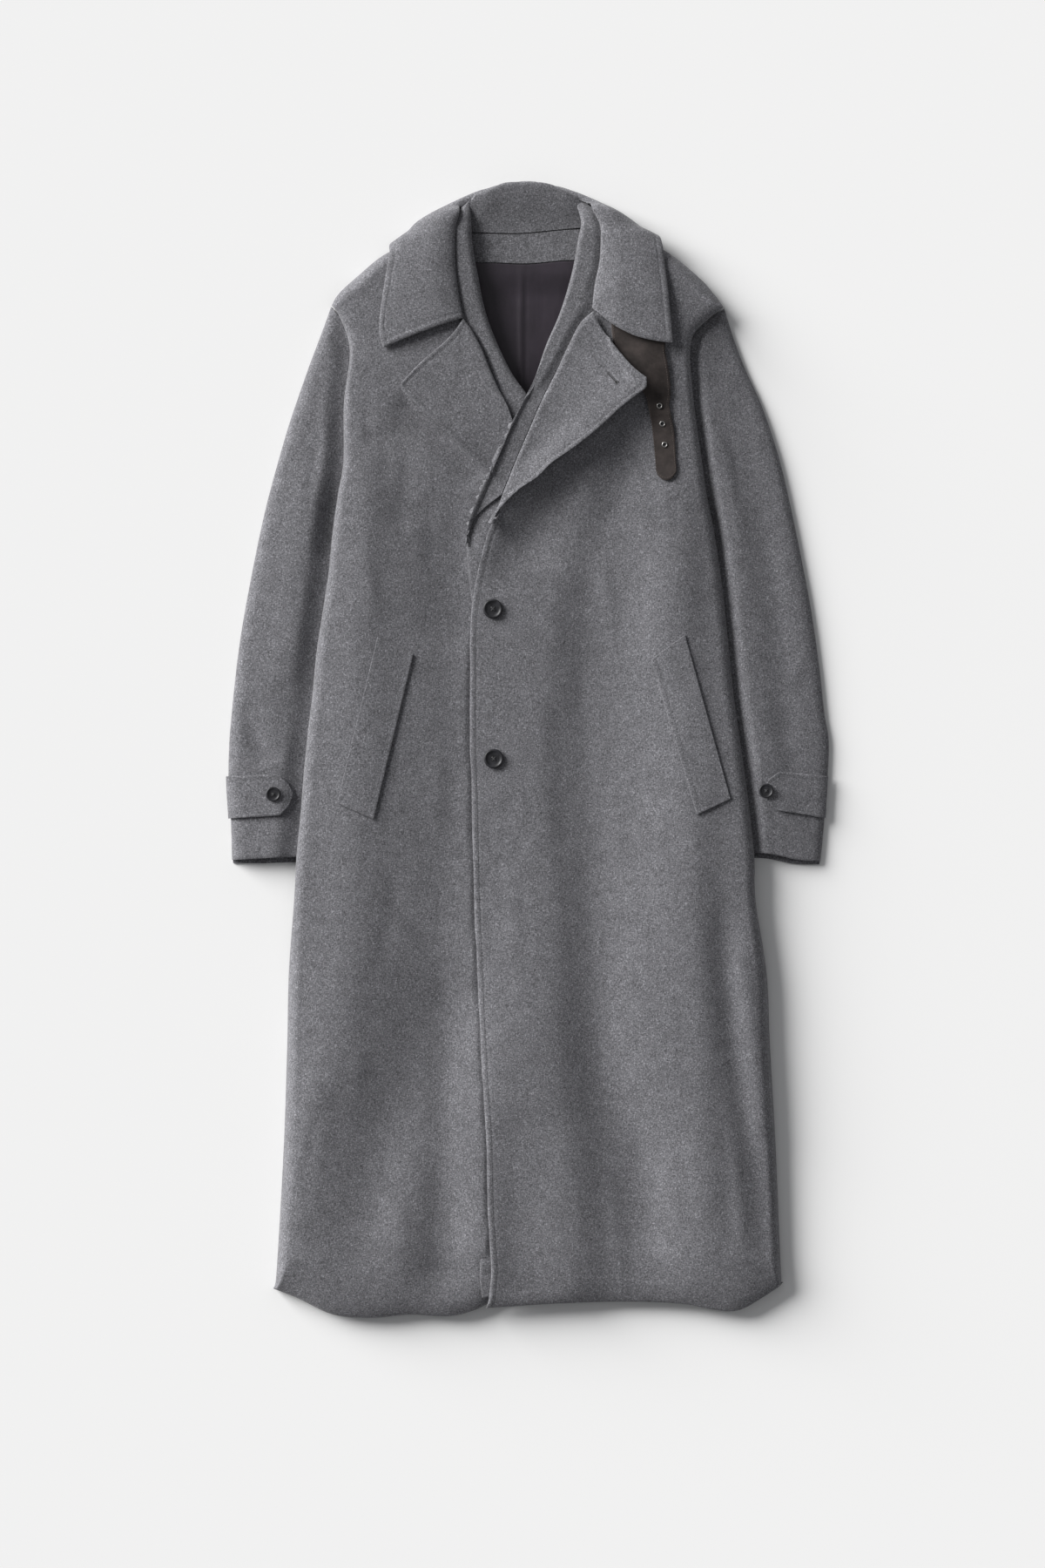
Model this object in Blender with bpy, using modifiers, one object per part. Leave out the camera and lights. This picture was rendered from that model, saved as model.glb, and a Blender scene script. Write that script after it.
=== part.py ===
# Wool coat laid flat on its back. Metres, +Z up, the collar lies towards +Y.
# Tables are in millimetres from the middle of the outline and from the floor.
# Right and left are the wearer's: the wearer's right lies on the -X side.
import math

import bpy
from mathutils import Vector
from mathutils.bvhtree import BVHTree

NAME = "wool_coat"
MM = 0.001
MIDDLE = (1.421, 1.095, -0.006)

# Cloth walls and clearances
WOOL = 2.4
THIN = 1.6
GAP = 0.45
BAND = 3.0
LAPEL = 3.4
LEATHER = 2.2

# Body heights
FRONT_TOP = 28.0
HEM_LIFT = 12.5
SHOULDER_TIP = 12.0
SEAM = 0.6
SIDE_ROLL = 15.0
TOP_ROLL = 17.0
HEM_ROLL = 26.0
SLEEVE_COVERED = 11.5
SLEEVE_LIFT = 12.8

# Body sides: height up the coat, right side, left side
SIDES = [
    (396, -210.5, 192.5),
    (332, -211.0, 201.5),
    (296, -217.0, 206.5),
    (250, -223.5, 215.5),
    (204, -228.0, 222.5),
    (158, -235.0, 228.0),
    (112, -242.0, 232.7),
    (66, -246.4, 237.5),
    (20, -252.0, 243.8),
    (-26, -256.5, 250.5),
    (-72, -260.2, 256.5),
    (-123, -265.0, 261.6),
    (-172, -267.6, 263.0),
    (-256, -274.0, 276.0),
    (-340, -276.0, 280.0),
    (-446, -279.5, 286.0),
    (-551, -285.2, 290.5),
    (-608, -289.0, 293.0),
]
# Height of the front armhole seam over the sleeve, up the coat
ARMHOLE = [(258, 16.0), (330, 15.6), (400, 15.8), (450, 16.8), (500, 18.2)]

# Armhole seams, shoulder seams and neck: points across, up
ARM_RIGHT = [(-224.5, 512), (-217, 502), (-209, 484), (-204, 466), (-204, 447), (-207, 426)]
ARM_LEFT = [(226.5, 510), (206, 494), (191, 477), (187.5, 453), (189.5, 426)]
SHOULDER_RIGHT = [(-86, 604), (-125, 588), (-164, 571), (-193, 548), (-216, 526), (-224.5, 512)]
SHOULDER_LEFT = [(88, 604), (130, 589), (165, 571), (198, 545), (215, 525), (226.5, 510)]
NECK = [(-75, 608), (-45, 600), (0, 596), (45, 600), (76, 608)]

# Where the fronts turn back, and the front edge on top
ROLL_RIGHT = [
    (-79, 612), (-84, 587), (-83, 553), (-77, 518), (-72, 499), (-63, 482.5),
    (-54, 466), (-41, 435), (-32, 415), (-23, 397), (-15, 380),
]
ROLL_LEFT = [
    (79, 617), (85, 602), (86, 585), (84, 560), (79, 537), (75, 518), (61, 490),
    (47, 463), (34, 435), (17, 401), (5, 373), (-8, 343), (-16, 324), (-30, 288),
    (-40, 261),
]
FRONT_EDGE = [
    (-46, 246), (-55, 212), (-62, 175), (-65, 138), (-65.5, 92), (-65.5, 1),
    (-64, -38), (-61, -172), (-57, -256), (-54, -324), (-50.4, -391),
    (-47.4, -437), (-45, -532), (-41, -591), (-42, -612), (-44, -630), (-47, -640),
]
UNDER_EDGE = [(13, 370), (15, 300), (17, 200), (17, -627)]
HEM_RIGHT = [
    (17, -627), (-34, -632), (-60, -643), (-89, -650), (-131.5, -648), (-154, -650),
    (-181, -652), (-223, -648), (-264, -629), (-292, -618),
]
HEM_LEFT = [
    (-47, -640), (-25, -639), (36, -635), (124, -633), (179, -635), (213, -641),
    (242, -642), (268.5, -628), (293, -611.5),
]
HEM_BACK = [(-291, -617), (-255, -626), (-150, -641), (0, -633), (150, -630), (255, -628), (292, -611)]

# Sleeves, outer edge from the shoulder to the cuff
SLEEVE_OUT_RIGHT = [
    (-225.5, 511), (-233, 490), (-242, 466), (-251, 442), (-265, 402), (-278, 362),
    (-300, 282), (-317, 202), (-331, 122), (-340, 42), (-343, 2), (-343.5, -38),
    (-341, -78), (-339.5, -125.5),
]
SLEEVE_OUT_LEFT = [
    (227.5, 509), (238, 475), (252, 438), (270.5, 397), (289, 342), (302.6, 286.5),
    (316, 222), (328, 158), (337, 94), (342.6, 43), (347.6, 11), (346, -35),
    (341.7, -90), (338, -127),
]
# Sleeves, hidden inner edge from the armpit to the cuff
SLEEVE_IN_RIGHT = [
    (-200, 258), (-196, 222), (-187, 180), (-177, 130), (-169, 60), (-172, 0), (-182, -70), (-190, -124),
]
SLEEVE_IN_LEFT = [
    (193, 258), (190, 222), (185, 180), (178, 130), (171, 60), (172, 0), (180, -70), (188, -128),
]
SLEEVE_CAP_RIGHT = [(-225.5, 511), (-207, 486), (-198.5, 450), (-199, 400), (-200, 330), (-200, 258)]
SLEEVE_CAP_LEFT = [(227.5, 509), (198, 487), (183, 452), (182.5, 410), (188, 340), (193, 258)]
SLEEVE_CUFF_RIGHT = [(-339.5, -125.5), (-266, -122), (-190, -124)]
SLEEVE_CUFF_LEFT = [(338, -127), (311, -125), (261, -117), (188, -128)]

# Long soft folds of the fronts: path across/up, half width, height
FOLDS = [
    ([(-135, 400), (-117, 220), (-113, 62), (-122, -88), (-160, -340), (-217, -600)], 26, -6.5),
    ([(-106, -330), (-128, -470), (-118, -640)], 20, -5.0),
    ([(-130, -370), (-166, -470), (-212, -600)], 17, 4.5),
    ([(-171, 360), (-165, 220)], 28, 4.0),
    ([(-236, -120), (-262, -270)], 16, -3.0),
    ([(-232, -250), (-215, -420), (-248, -560)], 26, 3.5),
    ([(-82, 250), (-78, 0), (-76, -600)], 13, 2.5),
    ([(30, 0), (16, -190), (50, -300), (86, -425), (124, -650)], 21, -6.5),
    ([(38, 60), (41, -120)], 12, -2.5),
    ([(192, -170), (222, -320), (254, -470), (272, -610)], 18, -5.5),
    ([(128, 100), (124, -120), (150, -300), (205, -600)], 36, 4.5),
    ([(-28, -360), (-6, -630)], 16, -3.0),
    ([(84, 300), (68, 160)], 24, -3.5),
    ([(20, 310), (60, 350), (110, 392)], 22, -4.5),
    ([(150, 260), (160, 60)], 30, 3.5),
    ([(236, -200), (258, -330), (268, -460)], 13, 3.0),
]
SLEEVE_FOLDS = [
    ([(-262, 300), (-285, 150), (-290, 20)], 15, 3.0),
    ([(-250, 190), (-284, 70)], 10, -3.0),
    ([(-320, 60), (-300, -20)], 12, -2.0),
    ([(240, 388), (290, 190), (316, -20)], 15, -4.0),
    ([(300, 330), (328, 90)], 12, 2.0),
    ([(268, 60), (300, -30)], 12, 2.0),
]

# Lift of the left front over what it closes on: height up the coat, lift
LAP = [(-700, 6.5), (180, 6.5), (262, 7.8), (320, 10.0), (390, 10.0), (450, 4.0), (500, 1.5), (640, 1.0)]

# Lapels: edge from the roll to the corner, outer edge, roll, hidden end
LAPEL_RIGHT = {
    "top": [(-73, 496), (-84, 480), (-98, 466), (-118, 449), (-132, 435), (-144, 422)],
    "side": [(-144, 422), (-143, 413.5), (-132, 403), (-118, 388.5), (-95, 368), (-68, 341.5), (-43, 318)],
    "inner": [
        (-73, 496), (-63, 482.5), (-54, 466), (-48, 453), (-41, 435), (-32, 415), (-23, 397), (-8, 355),
    ],
    "bottom": [(-8, 355), (-25, 335), (-43, 318)],
}
LAPEL_LEFT = {
    "top": [(76, 504), (83, 489), (97, 469), (119, 442), (137, 427)],
    "side": [
        (137, 427), (137, 417.5), (132, 411.5), (110, 395), (83, 370), (55.5, 348), (28, 329),
        (12, 313), (-8, 300), (-24, 285), (-35, 272), (-41, 260),
    ],
    "inner": [
        (76, 504), (61, 490), (47, 463), (34, 435), (17, 401), (5, 373), (-8, 343),
        (-16, 324), (-30, 288), (-38.5, 262),
    ],
    "bottom": [(-38.5, 262), (-41, 260)],
}

# Inner layer seen as a rolled band along the neck opening
INNER_RIGHT = {
    "top": [(-63, 634), (-66.5, 634)],
    "side": [
        (-66.5, 634), (-77.5, 621.5), (-86, 609), (-87.5, 590), (-86.5, 553), (-81.5, 531),
        (-75, 498), (-62.5, 482), (-53.5, 465.5), (-47.5, 453), (-40.5, 435), (-31.5, 415),
        (-24, 399), (-21, 393),
    ],
    "inner": [
        (-63, 634), (-65, 626), (-64, 609), (-63, 588), (-60, 565), (-56, 546), (-51, 518),
        (-45, 496.5), (-37.4, 476), (-28.5, 456), (-18, 435), (-8, 420), (0, 409), (5, 401),
    ],
    "bottom": [(5, 401), (-21, 393)],
}
INNER_LEFT = {
    "top": [(54, 635.5), (57.5, 636.5)],
    "side": [
        (57.5, 636.5), (69, 629), (82, 617), (88, 602), (89.5, 585), (88, 560), (82, 536),
        (79, 514), (64, 492), (48, 464), (33.3, 435.5), (16.3, 401.5), (4.3, 373.5),
        (-8.7, 343.5), (-16.7, 324.5), (-29, 294),
    ],
    "inner": [
        (54, 635.5), (62, 609), (59, 588), (51, 546), (38, 503), (22.6, 467), (10, 430), (0, 407),
        (-15, 378), (-30, 343), (-48, 302), (-59, 277), (-68, 253), (-70, 236),
    ],
    "bottom": [(-70, 236), (-69.4, 247), (-65, 260), (-57, 271), (-45, 282), (-29, 294)],
}
# Top of the inner layer: height up the coat, right, left, edge drop right, left
INNER_TOP = [
    (640, 23.0, 23.0, 3.0, 3.0), (600, 26.0, 26.5, 9.0, 9.0), (540, 26.5, 28.5, 9.0, 9.0),
    (480, 26.5, 31.0, 8.0, 9.0), (430, 26.5, 34.0, 6.0, 7.0), (405, 26.5, 35.3, 3.0, 2.6),
    (300, 26.5, 35.0, 3.0, 2.4), (230, 26.5, 33.6, 3.0, 2.4),
]
INNER_STRIP = {
    "top": [(-34, 300), (0, 300)],
    "side": [(0, 300), (0, -620)],
    "inner": [
        (-34, 300), (-57, 266), (-66, 246), (-69.5, 232), (-67.5, 206), (-64.5, 182),
        (-62.5, 160), (-63.8, 138), (-64.2, 60), (-64, -10), (-61, -110), (-59, -172), (-55, -256),
        (-51.5, -324), (-48.5, -400), (-49, -437), (-51.4, -484), (-53.5, -578), (-54, -606), (-51.4, -628),
    ],
    "bottom": [(-51.4, -628), (0, -620)],
}

# Outer collar, from one leaf round the back of the neck to the other:
# roll, crown, bend, under and edge of each section, each across, up, height
COLLAR = [
    ((-75, 497, 29.5), (-97, 490, 33.0), (-122, 481, 33.0), (-145, 472, 32.0), (-164, 463, 30.5)),
    ((-80, 522, 29.5), (-103, 516, 33.0), (-127, 509, 32.5), (-150, 500, 31.5), (-168, 488, 30.0)),
    ((-84, 551, 29.0), (-104, 548, 32.5), (-126, 544, 32.0), (-145, 541.5, 30.5), (-161, 541, 28.0)),
    ((-85, 577, 28.5), (-105, 575.5, 31.5), (-125, 573, 30.5), (-142, 570.5, 28.5), (-156, 569, 25.5)),
    ((-84, 600, 28.0), (-104, 598, 29.5), (-124, 594, 27.0), (-141, 589, 22.5), (-154, 582, 15.0)),
    ((-79, 618, 26.0), (-100, 615, 25.5), (-125, 605.5, 15.0), (-130, 598, 6.0), (-133, 588, 3.7)),
    ((-76, 626, 14.5), (-87, 626, 15.0), (-97.5, 621.5, 10.0), (-99, 613, 4.2), (-101, 574, 3.7)),
    ((-49, 635, 8.0), (-47, 643, 7.5), (-47, 643, 5.0), (-48, 625, 3.9), (-52, 567, 3.7)),
    ((0, 648, 10.0), (0, 652.5, 8.0), (0, 650, 5.2), (0, 630, 3.9), (0, 562, 3.7)),
    ((46, 636, 8.0), (44, 644, 7.5), (45, 642, 5.0), (46, 624, 3.9), (50, 567, 3.7)),
    ((70, 629, 15.5), (83, 628, 16.0), (96.5, 620.5, 10.0), (98, 612, 4.2), (100, 574, 3.7)),
    ((77, 622, 26.0), (98, 618.5, 25.5), (120, 607.5, 15.0), (126, 600, 6.0), (129, 590, 3.7)),
    ((86, 604, 28.0), (104, 602, 29.5), (124, 598, 27.5), (138, 595, 22.5), (148, 591, 16.0)),
    ((87, 585, 29.0), (104, 584, 32.0), (124, 582, 32.0), (141, 580, 30.0), (154, 578.5, 27.0)),
    ((85.5, 560, 30.5), (104, 558, 34.0), (125, 556.5, 34.0), (143, 555, 32.0), (157, 554, 29.0)),
    ((80.5, 537, 31.5), (100, 534, 36.5), (123, 530, 37.0), (143, 525, 36.0), (161, 521, 34.0)),
    ((77, 508, 33.0), (100, 489, 37.5), (122, 477, 38.5), (144, 471, 38.0), (166, 468, 36.0)),
]

INNER_COLLAR = {
    "top": [
        (-64, 634), (-60, 639.5), (-52, 642.5), (-38, 648), (-25, 653), (-7, 654), (7, 654),
        (24, 652), (42, 645), (55, 638.5), (60, 634),
    ],
    "side": [(60, 634), (66, 602)],
    "inner": [(-64, 634), (-69, 597)],
    "bottom": [(-69, 597), (-21, 595.5), (0, 596), (21, 598), (42, 600), (66, 602)],
}
NECK_FACING = {
    "top": [(-66, 595), (-21, 594.4), (0, 595), (21, 597), (42, 599), (66, 600)],
    "side": [(66, 600), (72, 564)],
    "inner": [(-66, 595), (-72, 562)],
    "bottom": [(-72, 562), (-42, 562), (0, 560.5), (42, 564), (72, 564)],
}
LINING = {
    "top": [(-72, 561), (-42, 561), (0, 559.5), (42, 563), (72, 563)],
    "side": [(72, 563), (64, 480), (40, 390)],
    "inner": [(-72, 561), (-60, 480), (-40, 390)],
    "bottom": [(-40, 390), (40, 390)],
}

# Leather strap on the left front
CHEST_STRAP = {
    "top": [(96, 500), (130, 492), (160, 480)],
    "side": [
        (160, 480), (158.5, 462), (161, 446), (164, 427), (165, 408), (163.5, 398), (165, 387),
        (167, 379), (169, 368), (170, 355), (171, 335), (172, 321),
    ],
    "inner": [
        (96, 500), (100, 465), (118, 434), (135, 408), (139, 395), (141, 385.5), (143, 375),
        (144.6, 361), (146.6, 341), (148, 322),
    ],
    "bottom": [(148, 322), (150, 316.5), (155, 311.5), (161, 310), (166, 312), (170, 316.5), (172, 321)],
}
STRAP_FOLD = 385.5
EYELETS = [(152, 395.5), (155.4, 375), (158, 351)]
EYELET_OUT = 3.4
EYELET_IN = 1.8

WELT_RIGHT = [(-171.2, 130.5), (-129.7, 110.6), (-175.3, -78.5), (-217.6, -60)]
WELT_LEFT = [(181.3, 133), (142.4, 105), (194.6, -73.5), (233.6, -55)]
WELT = 1.8

# Cuff straps: lower and upper edge from the outer side to the tip
CUFF_STRAP_RIGHT = [(-77.6, -74.0, -62, -49.5), (-29, -27, -37, -49)]
CUFF_STRAP_LEFT = [(-76.6, -68.0, -58, -44.5), (-28.6, -23.5, -32, -44)]
CUFF_STRAP_REACH = [60.0, 72.5]

FRONT_BUTTONS = [(-39, 163), (-38, -9)]
CUFF_BUTTON_RIGHT = (-291.3, -49.7)
CUFF_BUTTON_LEFT = (274.8, -45.8)
BUTTON_R = 11.35
CUFF_BUTTON_R = 8.5

# Cloth colours
GREY = (0.135, 0.133, 0.148)
AUBERGINE = (0.024, 0.018, 0.026)
BROWN = (0.042, 0.033, 0.030)
BLACK = (0.012, 0.012, 0.014)
STEEL = (0.42, 0.41, 0.40)


# Plain measures along rows and paths
def clamp(value, low=0.0, high=1.0):
    return max(low, min(high, value))


def smooth(low, high, value):
    f = clamp((value - low) / (high - low))
    return f * f * (3.0 - 2.0 * f)


def column(rows, at, index):
    ordered = sorted(rows)
    if at <= ordered[0][0]:
        return ordered[0][index]
    for first, second in zip(ordered, ordered[1:]):
        if at <= second[0]:
            f = (at - first[0]) / (second[0] - first[0])
            return first[index] + f * (second[index] - first[index])
    return ordered[-1][index]


def spline(points, per=8):
    out = []
    count = len(points)
    for i in range(count - 1):
        p0 = points[max(i - 1, 0)]
        p1 = points[i]
        p2 = points[i + 1]
        p3 = points[min(i + 2, count - 1)]
        for k in range(per):
            t = k / per
            out.append(tuple(
                0.5 * (2 * b + (c - a) * t + (2 * a - 5 * b + 4 * c - d) * t * t
                       + (3 * b - a - 3 * c + d) * t * t * t)
                for a, b, c, d in zip(p0, p1, p2, p3)
            ))
    out.append(tuple(points[-1]))
    return out


def spread(points, fractions, curved=True):
    line = spline(points) if curved and len(points) > 2 else list(points)
    total = [0.0]
    for a, b in zip(line, line[1:]):
        total.append(total[-1] + math.dist(a, b))
    out = []
    for f in fractions:
        want = f * total[-1]
        i = 0
        while i < len(line) - 2 and total[i + 1] < want:
            i += 1
        span = total[i + 1] - total[i]
        t = (want - total[i]) / span if span > 1e-9 else 0.0
        out.append(tuple(p + t * (q - p) for p, q in zip(line[i], line[i + 1])))
    return out


def off_path(x, y, path):
    best = (1e9, 0.0)
    run = 0.0
    total = sum(math.dist(a, b) for a, b in zip(path, path[1:]))
    for a, b in zip(path, path[1:]):
        dx = b[0] - a[0]
        dy = b[1] - a[1]
        span = math.hypot(dx, dy)
        t = clamp(((x - a[0]) * dx + (y - a[1]) * dy) / (span * span))
        d = math.hypot(x - a[0] - t * dx, y - a[1] - t * dy)
        if d < best[0]:
            best = (d, (run + t * span) / total)
        run += span
    return best


def folds(x, y, table):
    height = 0.0
    for path, width, rise in table:
        d, along = off_path(x, y, path)
        if d < 3.0 * width:
            start = min(1.0, 0.15 + smooth(0.0, 0.2, along))
            end = min(1.0, 0.25 + smooth(0.0, 0.15, 1.0 - along))
            height += rise * start * end * math.exp(-((d / width) ** 2))
    return height


def roll(distance, radius):
    f = clamp(distance / radius)
    return math.sqrt(max(0.0, 1.0 - (1.0 - f) ** 2))


# Heights shared by the layers
def front_height(x, y):
    base = FRONT_TOP - 3.0 * smooth(430, 600, y) + 1.5 * smooth(250, -100, y)
    return base + folds(x, y, FOLDS) * smooth(560, 430, y)


def side_path(sign):
    arm = ARM_RIGHT if sign < 0 else ARM_LEFT
    index = 1 if sign < 0 else 2
    return arm + [(row[index], row[0]) for row in SIDES]


def path_x(path, y):
    return column([(p[1], p[0]) for p in path], y, 1)


def sleeve_inner(y, sign):
    return abs(path_x(SLEEVE_IN_RIGHT if sign < 0 else SLEEVE_IN_LEFT, y))


def back_under(x, y):
    inner = sleeve_inner(y, x)
    over = smooth(inner - 27.0, inner - 7.0, abs(x))
    along = smooth(322, 282, y) * smooth(-300, -140, y)
    neck = smooth(520, 552, y) * smooth(190, 150, abs(x))
    return SLEEVE_LIFT * over * along + 5.0 * neck


def side_end(y, sign):
    x = path_x(side_path(sign), y)
    low = max(back_under(x, y + step) for step in (-14, 0, 14)) + WOOL + SEAM
    return max(low, column(ARMHOLE, y, 1)) if y > 262 else low


def shoulder_end(x, y):
    tip = smooth(196, 216, abs(x))
    return (back_under(x, y) + WOOL + SEAM) * (1 - tip) + SHOULDER_TIP * tip


def lap_lift(x, y):
    edge = path_x(ROLL_LEFT + FRONT_EDGE, y)
    return column(LAP, y, 1) * (1.0 - smooth(88, 140, x - edge))


def no_lift(x, y):
    return 0.0


# Solids from grids of points
def material(name, colour, roughness, metallic):
    mat = bpy.data.materials.new(name)
    mat.use_nodes = True
    node = mat.node_tree.nodes["Principled BSDF"]
    node.inputs["Base Color"].default_value = (*colour, 1.0)
    node.inputs["Roughness"].default_value = roughness
    node.inputs["Metallic"].default_value = metallic
    mat.diffuse_color = (*colour, 1.0)
    return mat


def place(name, points, faces, mat, group=None):
    mesh = bpy.data.meshes.new(name)
    mesh.from_pydata([(Vector(p) - Vector(MIDDLE)) * MM for p in points], [], faces)
    mesh.update()
    mesh.materials.append(mat)
    obj = bpy.data.objects.new(name, mesh)
    (group or GROUPS["parts"]).objects.link(obj)
    return obj


def sheet(name, rows, wall, mat, up=True, closed=False):
    count = len(rows[0])
    points = [p for row in rows for p in row]
    faces = []
    for i in range(len(rows) - 1):
        for j in range(count if closed else count - 1):
            k = (j + 1) % count
            quad = (i * count + j, i * count + k, (i + 1) * count + k, (i + 1) * count + j)
            faces.append(quad if up else quad[::-1])
    obj = place(name, points, faces, mat)
    thick = obj.modifiers.new("wall", "SOLIDIFY")
    thick.thickness = wall * MM
    thick.offset = -1.0
    thick.use_even_offset = False
    SURFACES[name] = BVHTree.FromPolygons([Vector(p) for p in points], faces)
    return obj


AROUND = [(0, 0), (1, 0), (-1, 0), (0, 1), (0, -1), (0.7, 0.7), (-0.7, 0.7), (0.7, -0.7), (-0.7, -0.7)]


# Height of the outside of the pieces under a point, the highest within reach
def drape(names, x, y, reach=7.0):
    best = None
    for name in names.split():
        for dx, dy in AROUND:
            hit = SURFACES[name].ray_cast(Vector((x + dx * reach, y + dy * reach, 200)), Vector((0, 0, -1)))
            if hit[0] is not None:
                best = hit[0].z if best is None else max(best, hit[0].z)
    return best


def run(points):
    return sum(math.dist(a, b) for a, b in zip(points, points[1:]))


def coons(edges, across, down):
    ins = spread(edges["inner"], down)
    outs = spread(edges["side"], down)
    rows = []
    for i, t in enumerate(down):
        steps = across(ins[i], outs[i]) if callable(across) else across
        tops = spread(edges["top"], [0.0] + list(steps) + [1.0])
        lows = spread(edges["bottom"], [0.0] + list(steps) + [1.0])
        row = []
        for j, s in enumerate(steps):
            point = []
            for k in (0, 1):
                blend = (1 - t) * tops[j + 1][k] + t * lows[j + 1][k] + (1 - s) * ins[i][k] + s * outs[i][k]
                corner = (
                    (1 - s) * (1 - t) * tops[0][k] + s * (1 - t) * tops[-1][k]
                    + (1 - s) * t * lows[0][k] + s * t * lows[-1][k]
                )
                point.append(blend - corner)
            row.append(tuple(point))
        rows.append(row)
    return rows


def even(count):
    return [i / count for i in range(count + 1)]


ACROSS = [0, 0.07, 0.17, 0.28, 0.39, 0.5, 0.61, 0.72, 0.83, 0.91, 0.955, 0.985, 1.0, 1.0]
DOWN = (
    [0, 0, 0.002, 0.007, 0.017, 0.04]
    + [0.04 + 0.04 * i for i in range(1, 23)]
    + [0.95, 0.976, 0.99, 1.0]
)
LIP = 1.4


# A front panel: plan from its four edges, height from the shared folds
def front_panel(name, sign, inner, lift, mat):
    edges = {
        "inner": inner,
        "top": SHOULDER_RIGHT if sign < 0 else SHOULDER_LEFT,
        "bottom": HEM_RIGHT if sign < 0 else HEM_LEFT,
    }
    edges["side"] = side_path(sign) + [edges["bottom"][-1]]
    plan = coons(edges, ACROSS, DOWN)
    length = run([row[6] for row in plan])
    rows = []
    for i, row in enumerate(plan):
        width = run(row)
        out = []
        for j, (x, y) in enumerate(row):
            raised = lift(x, y)
            high = front_height(x, y) + raised
            side = side_end(row[-1][1], sign) + (LIP if j < len(row) - 1 else 0.0)
            top = shoulder_end(x, y) + (LIP if i else 0.0)
            drop = max(
                (high - side) * (1 - roll((1 - ACROSS[j]) * width, SIDE_ROLL)),
                (high - top) * (1 - roll(DOWN[i] * length, TOP_ROLL)),
                (high - HEM_LIFT - raised) * (1 - roll((1 - DOWN[i]) * length, HEM_ROLL)),
            )
            out.append((x, y, high - drop))
        rows.append(out)
    return sheet(name, rows, WOOL, mat, up=sign < 0)


def fronts(mat):
    inner = [(p[0] - 6.5, p[1] - 2.0) for p in ROLL_RIGHT]
    inner[0] = SHOULDER_RIGHT[0]
    front_panel("front_right", -1, inner + UNDER_EDGE, no_lift, mat)
    roll_line = [(x + 7.5 * smooth(290, 390, y), y) for x, y in ROLL_LEFT]
    roll_line[0] = SHOULDER_LEFT[0]
    front_panel("front_left", 1, roll_line + FRONT_EDGE, lap_lift, mat)


# Back panel: flat where it rests, raised over the sleeves and the collar fall
def back_steps(right, left):
    y = 0.5 * (right[1] + left[1])
    width = left[0] - right[0]
    steps = []
    for point in (right, left):
        d = max(30.0, abs(point[0]) - sleeve_inner(y, point[0]))
        steps.append([0, 8.0, 0.5 * (8.0 + d), d + 6.0, d + 29.0])
    middle = [0.25, 0.37, 0.5, 0.63, 0.75]
    return [d / width for d in steps[0]] + middle + [1 - d / width for d in reversed(steps[1])]


def back(mat):
    down = [0, 0.012, 0.03, 0.05] + [0.05 + 0.054 * i for i in range(1, 5)]
    down = down + [0.286, 0.303, 0.32, 0.34] + [0.34 + 0.05 * i for i in range(1, 5)]
    down = down + [0.565, 0.59, 0.615, 0.64, 0.665, 0.69] + [0.69 + 0.06 * i for i in range(1, 5)] + [1.0]
    caps = []
    for cap, sign in ((SLEEVE_CAP_RIGHT, 1), (SLEEVE_CAP_LEFT, -1)):
        caps.append([(p[0] + (3.0 if p[1] < 440 else 5.0) * sign, p[1] - 1.0) for p in cap[:-1]])
    low = [row for row in SIDES if row[0] < 240]
    right = caps[0] + [(-197, 264)] + [(row[1] + 0.8, row[0]) for row in low] + [HEM_BACK[0]]
    left = caps[1] + [(190, 264)] + [(row[2] - 0.8, row[0]) for row in low] + [HEM_BACK[-1]]
    over = [(x, y - 1.0) for x, y in SHOULDER_RIGHT[-2:0:-1] + NECK + SHOULDER_LEFT[1:-1]]
    top = [right[0]] + over + [left[0]]
    plan = coons({"top": top, "side": left, "bottom": HEM_BACK, "inner": right}, back_steps, down)
    rows = [[(x, y, back_under(x, y)) for x, y in row] for row in plan]
    return sheet("back", rows, WOOL, mat, up=True)


# Sleeve: flattened tube, its rings fan out from the armhole to the cuff
def sleeve_rings(sign, across, down):
    outer, inner, cap, cuff = (
        (SLEEVE_OUT_RIGHT, SLEEVE_IN_RIGHT, SLEEVE_CAP_RIGHT, SLEEVE_CUFF_RIGHT) if sign < 0
        else (SLEEVE_OUT_LEFT, SLEEVE_IN_LEFT, SLEEVE_CAP_LEFT, SLEEVE_CUFF_LEFT)
    )
    outs = spread(outer, down)
    ins = spread(inner, [t ** 1.35 for t in down])
    caps = spread(cap, across)
    cuffs = spread(cuff, across)
    rings = []
    for t, o, n in zip(down, outs, ins):
        first = clamp(1 - t / 0.3) ** 2
        last = clamp((t - 0.8) / 0.2) ** 2
        ring = []
        for s, c, e in zip(across, caps, cuffs):
            point = []
            for k in (0, 1):
                bow = first * (c[k] - (1 - s) * cap[0][k] - s * cap[-1][k])
                hem = last * (e[k] - (1 - s) * cuff[0][k] - s * cuff[-1][k])
                point.append((1 - s) * o[k] + s * n[k] + bow + hem)
            ring.append(tuple(point))
        rings.append(ring)
    return rings


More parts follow.
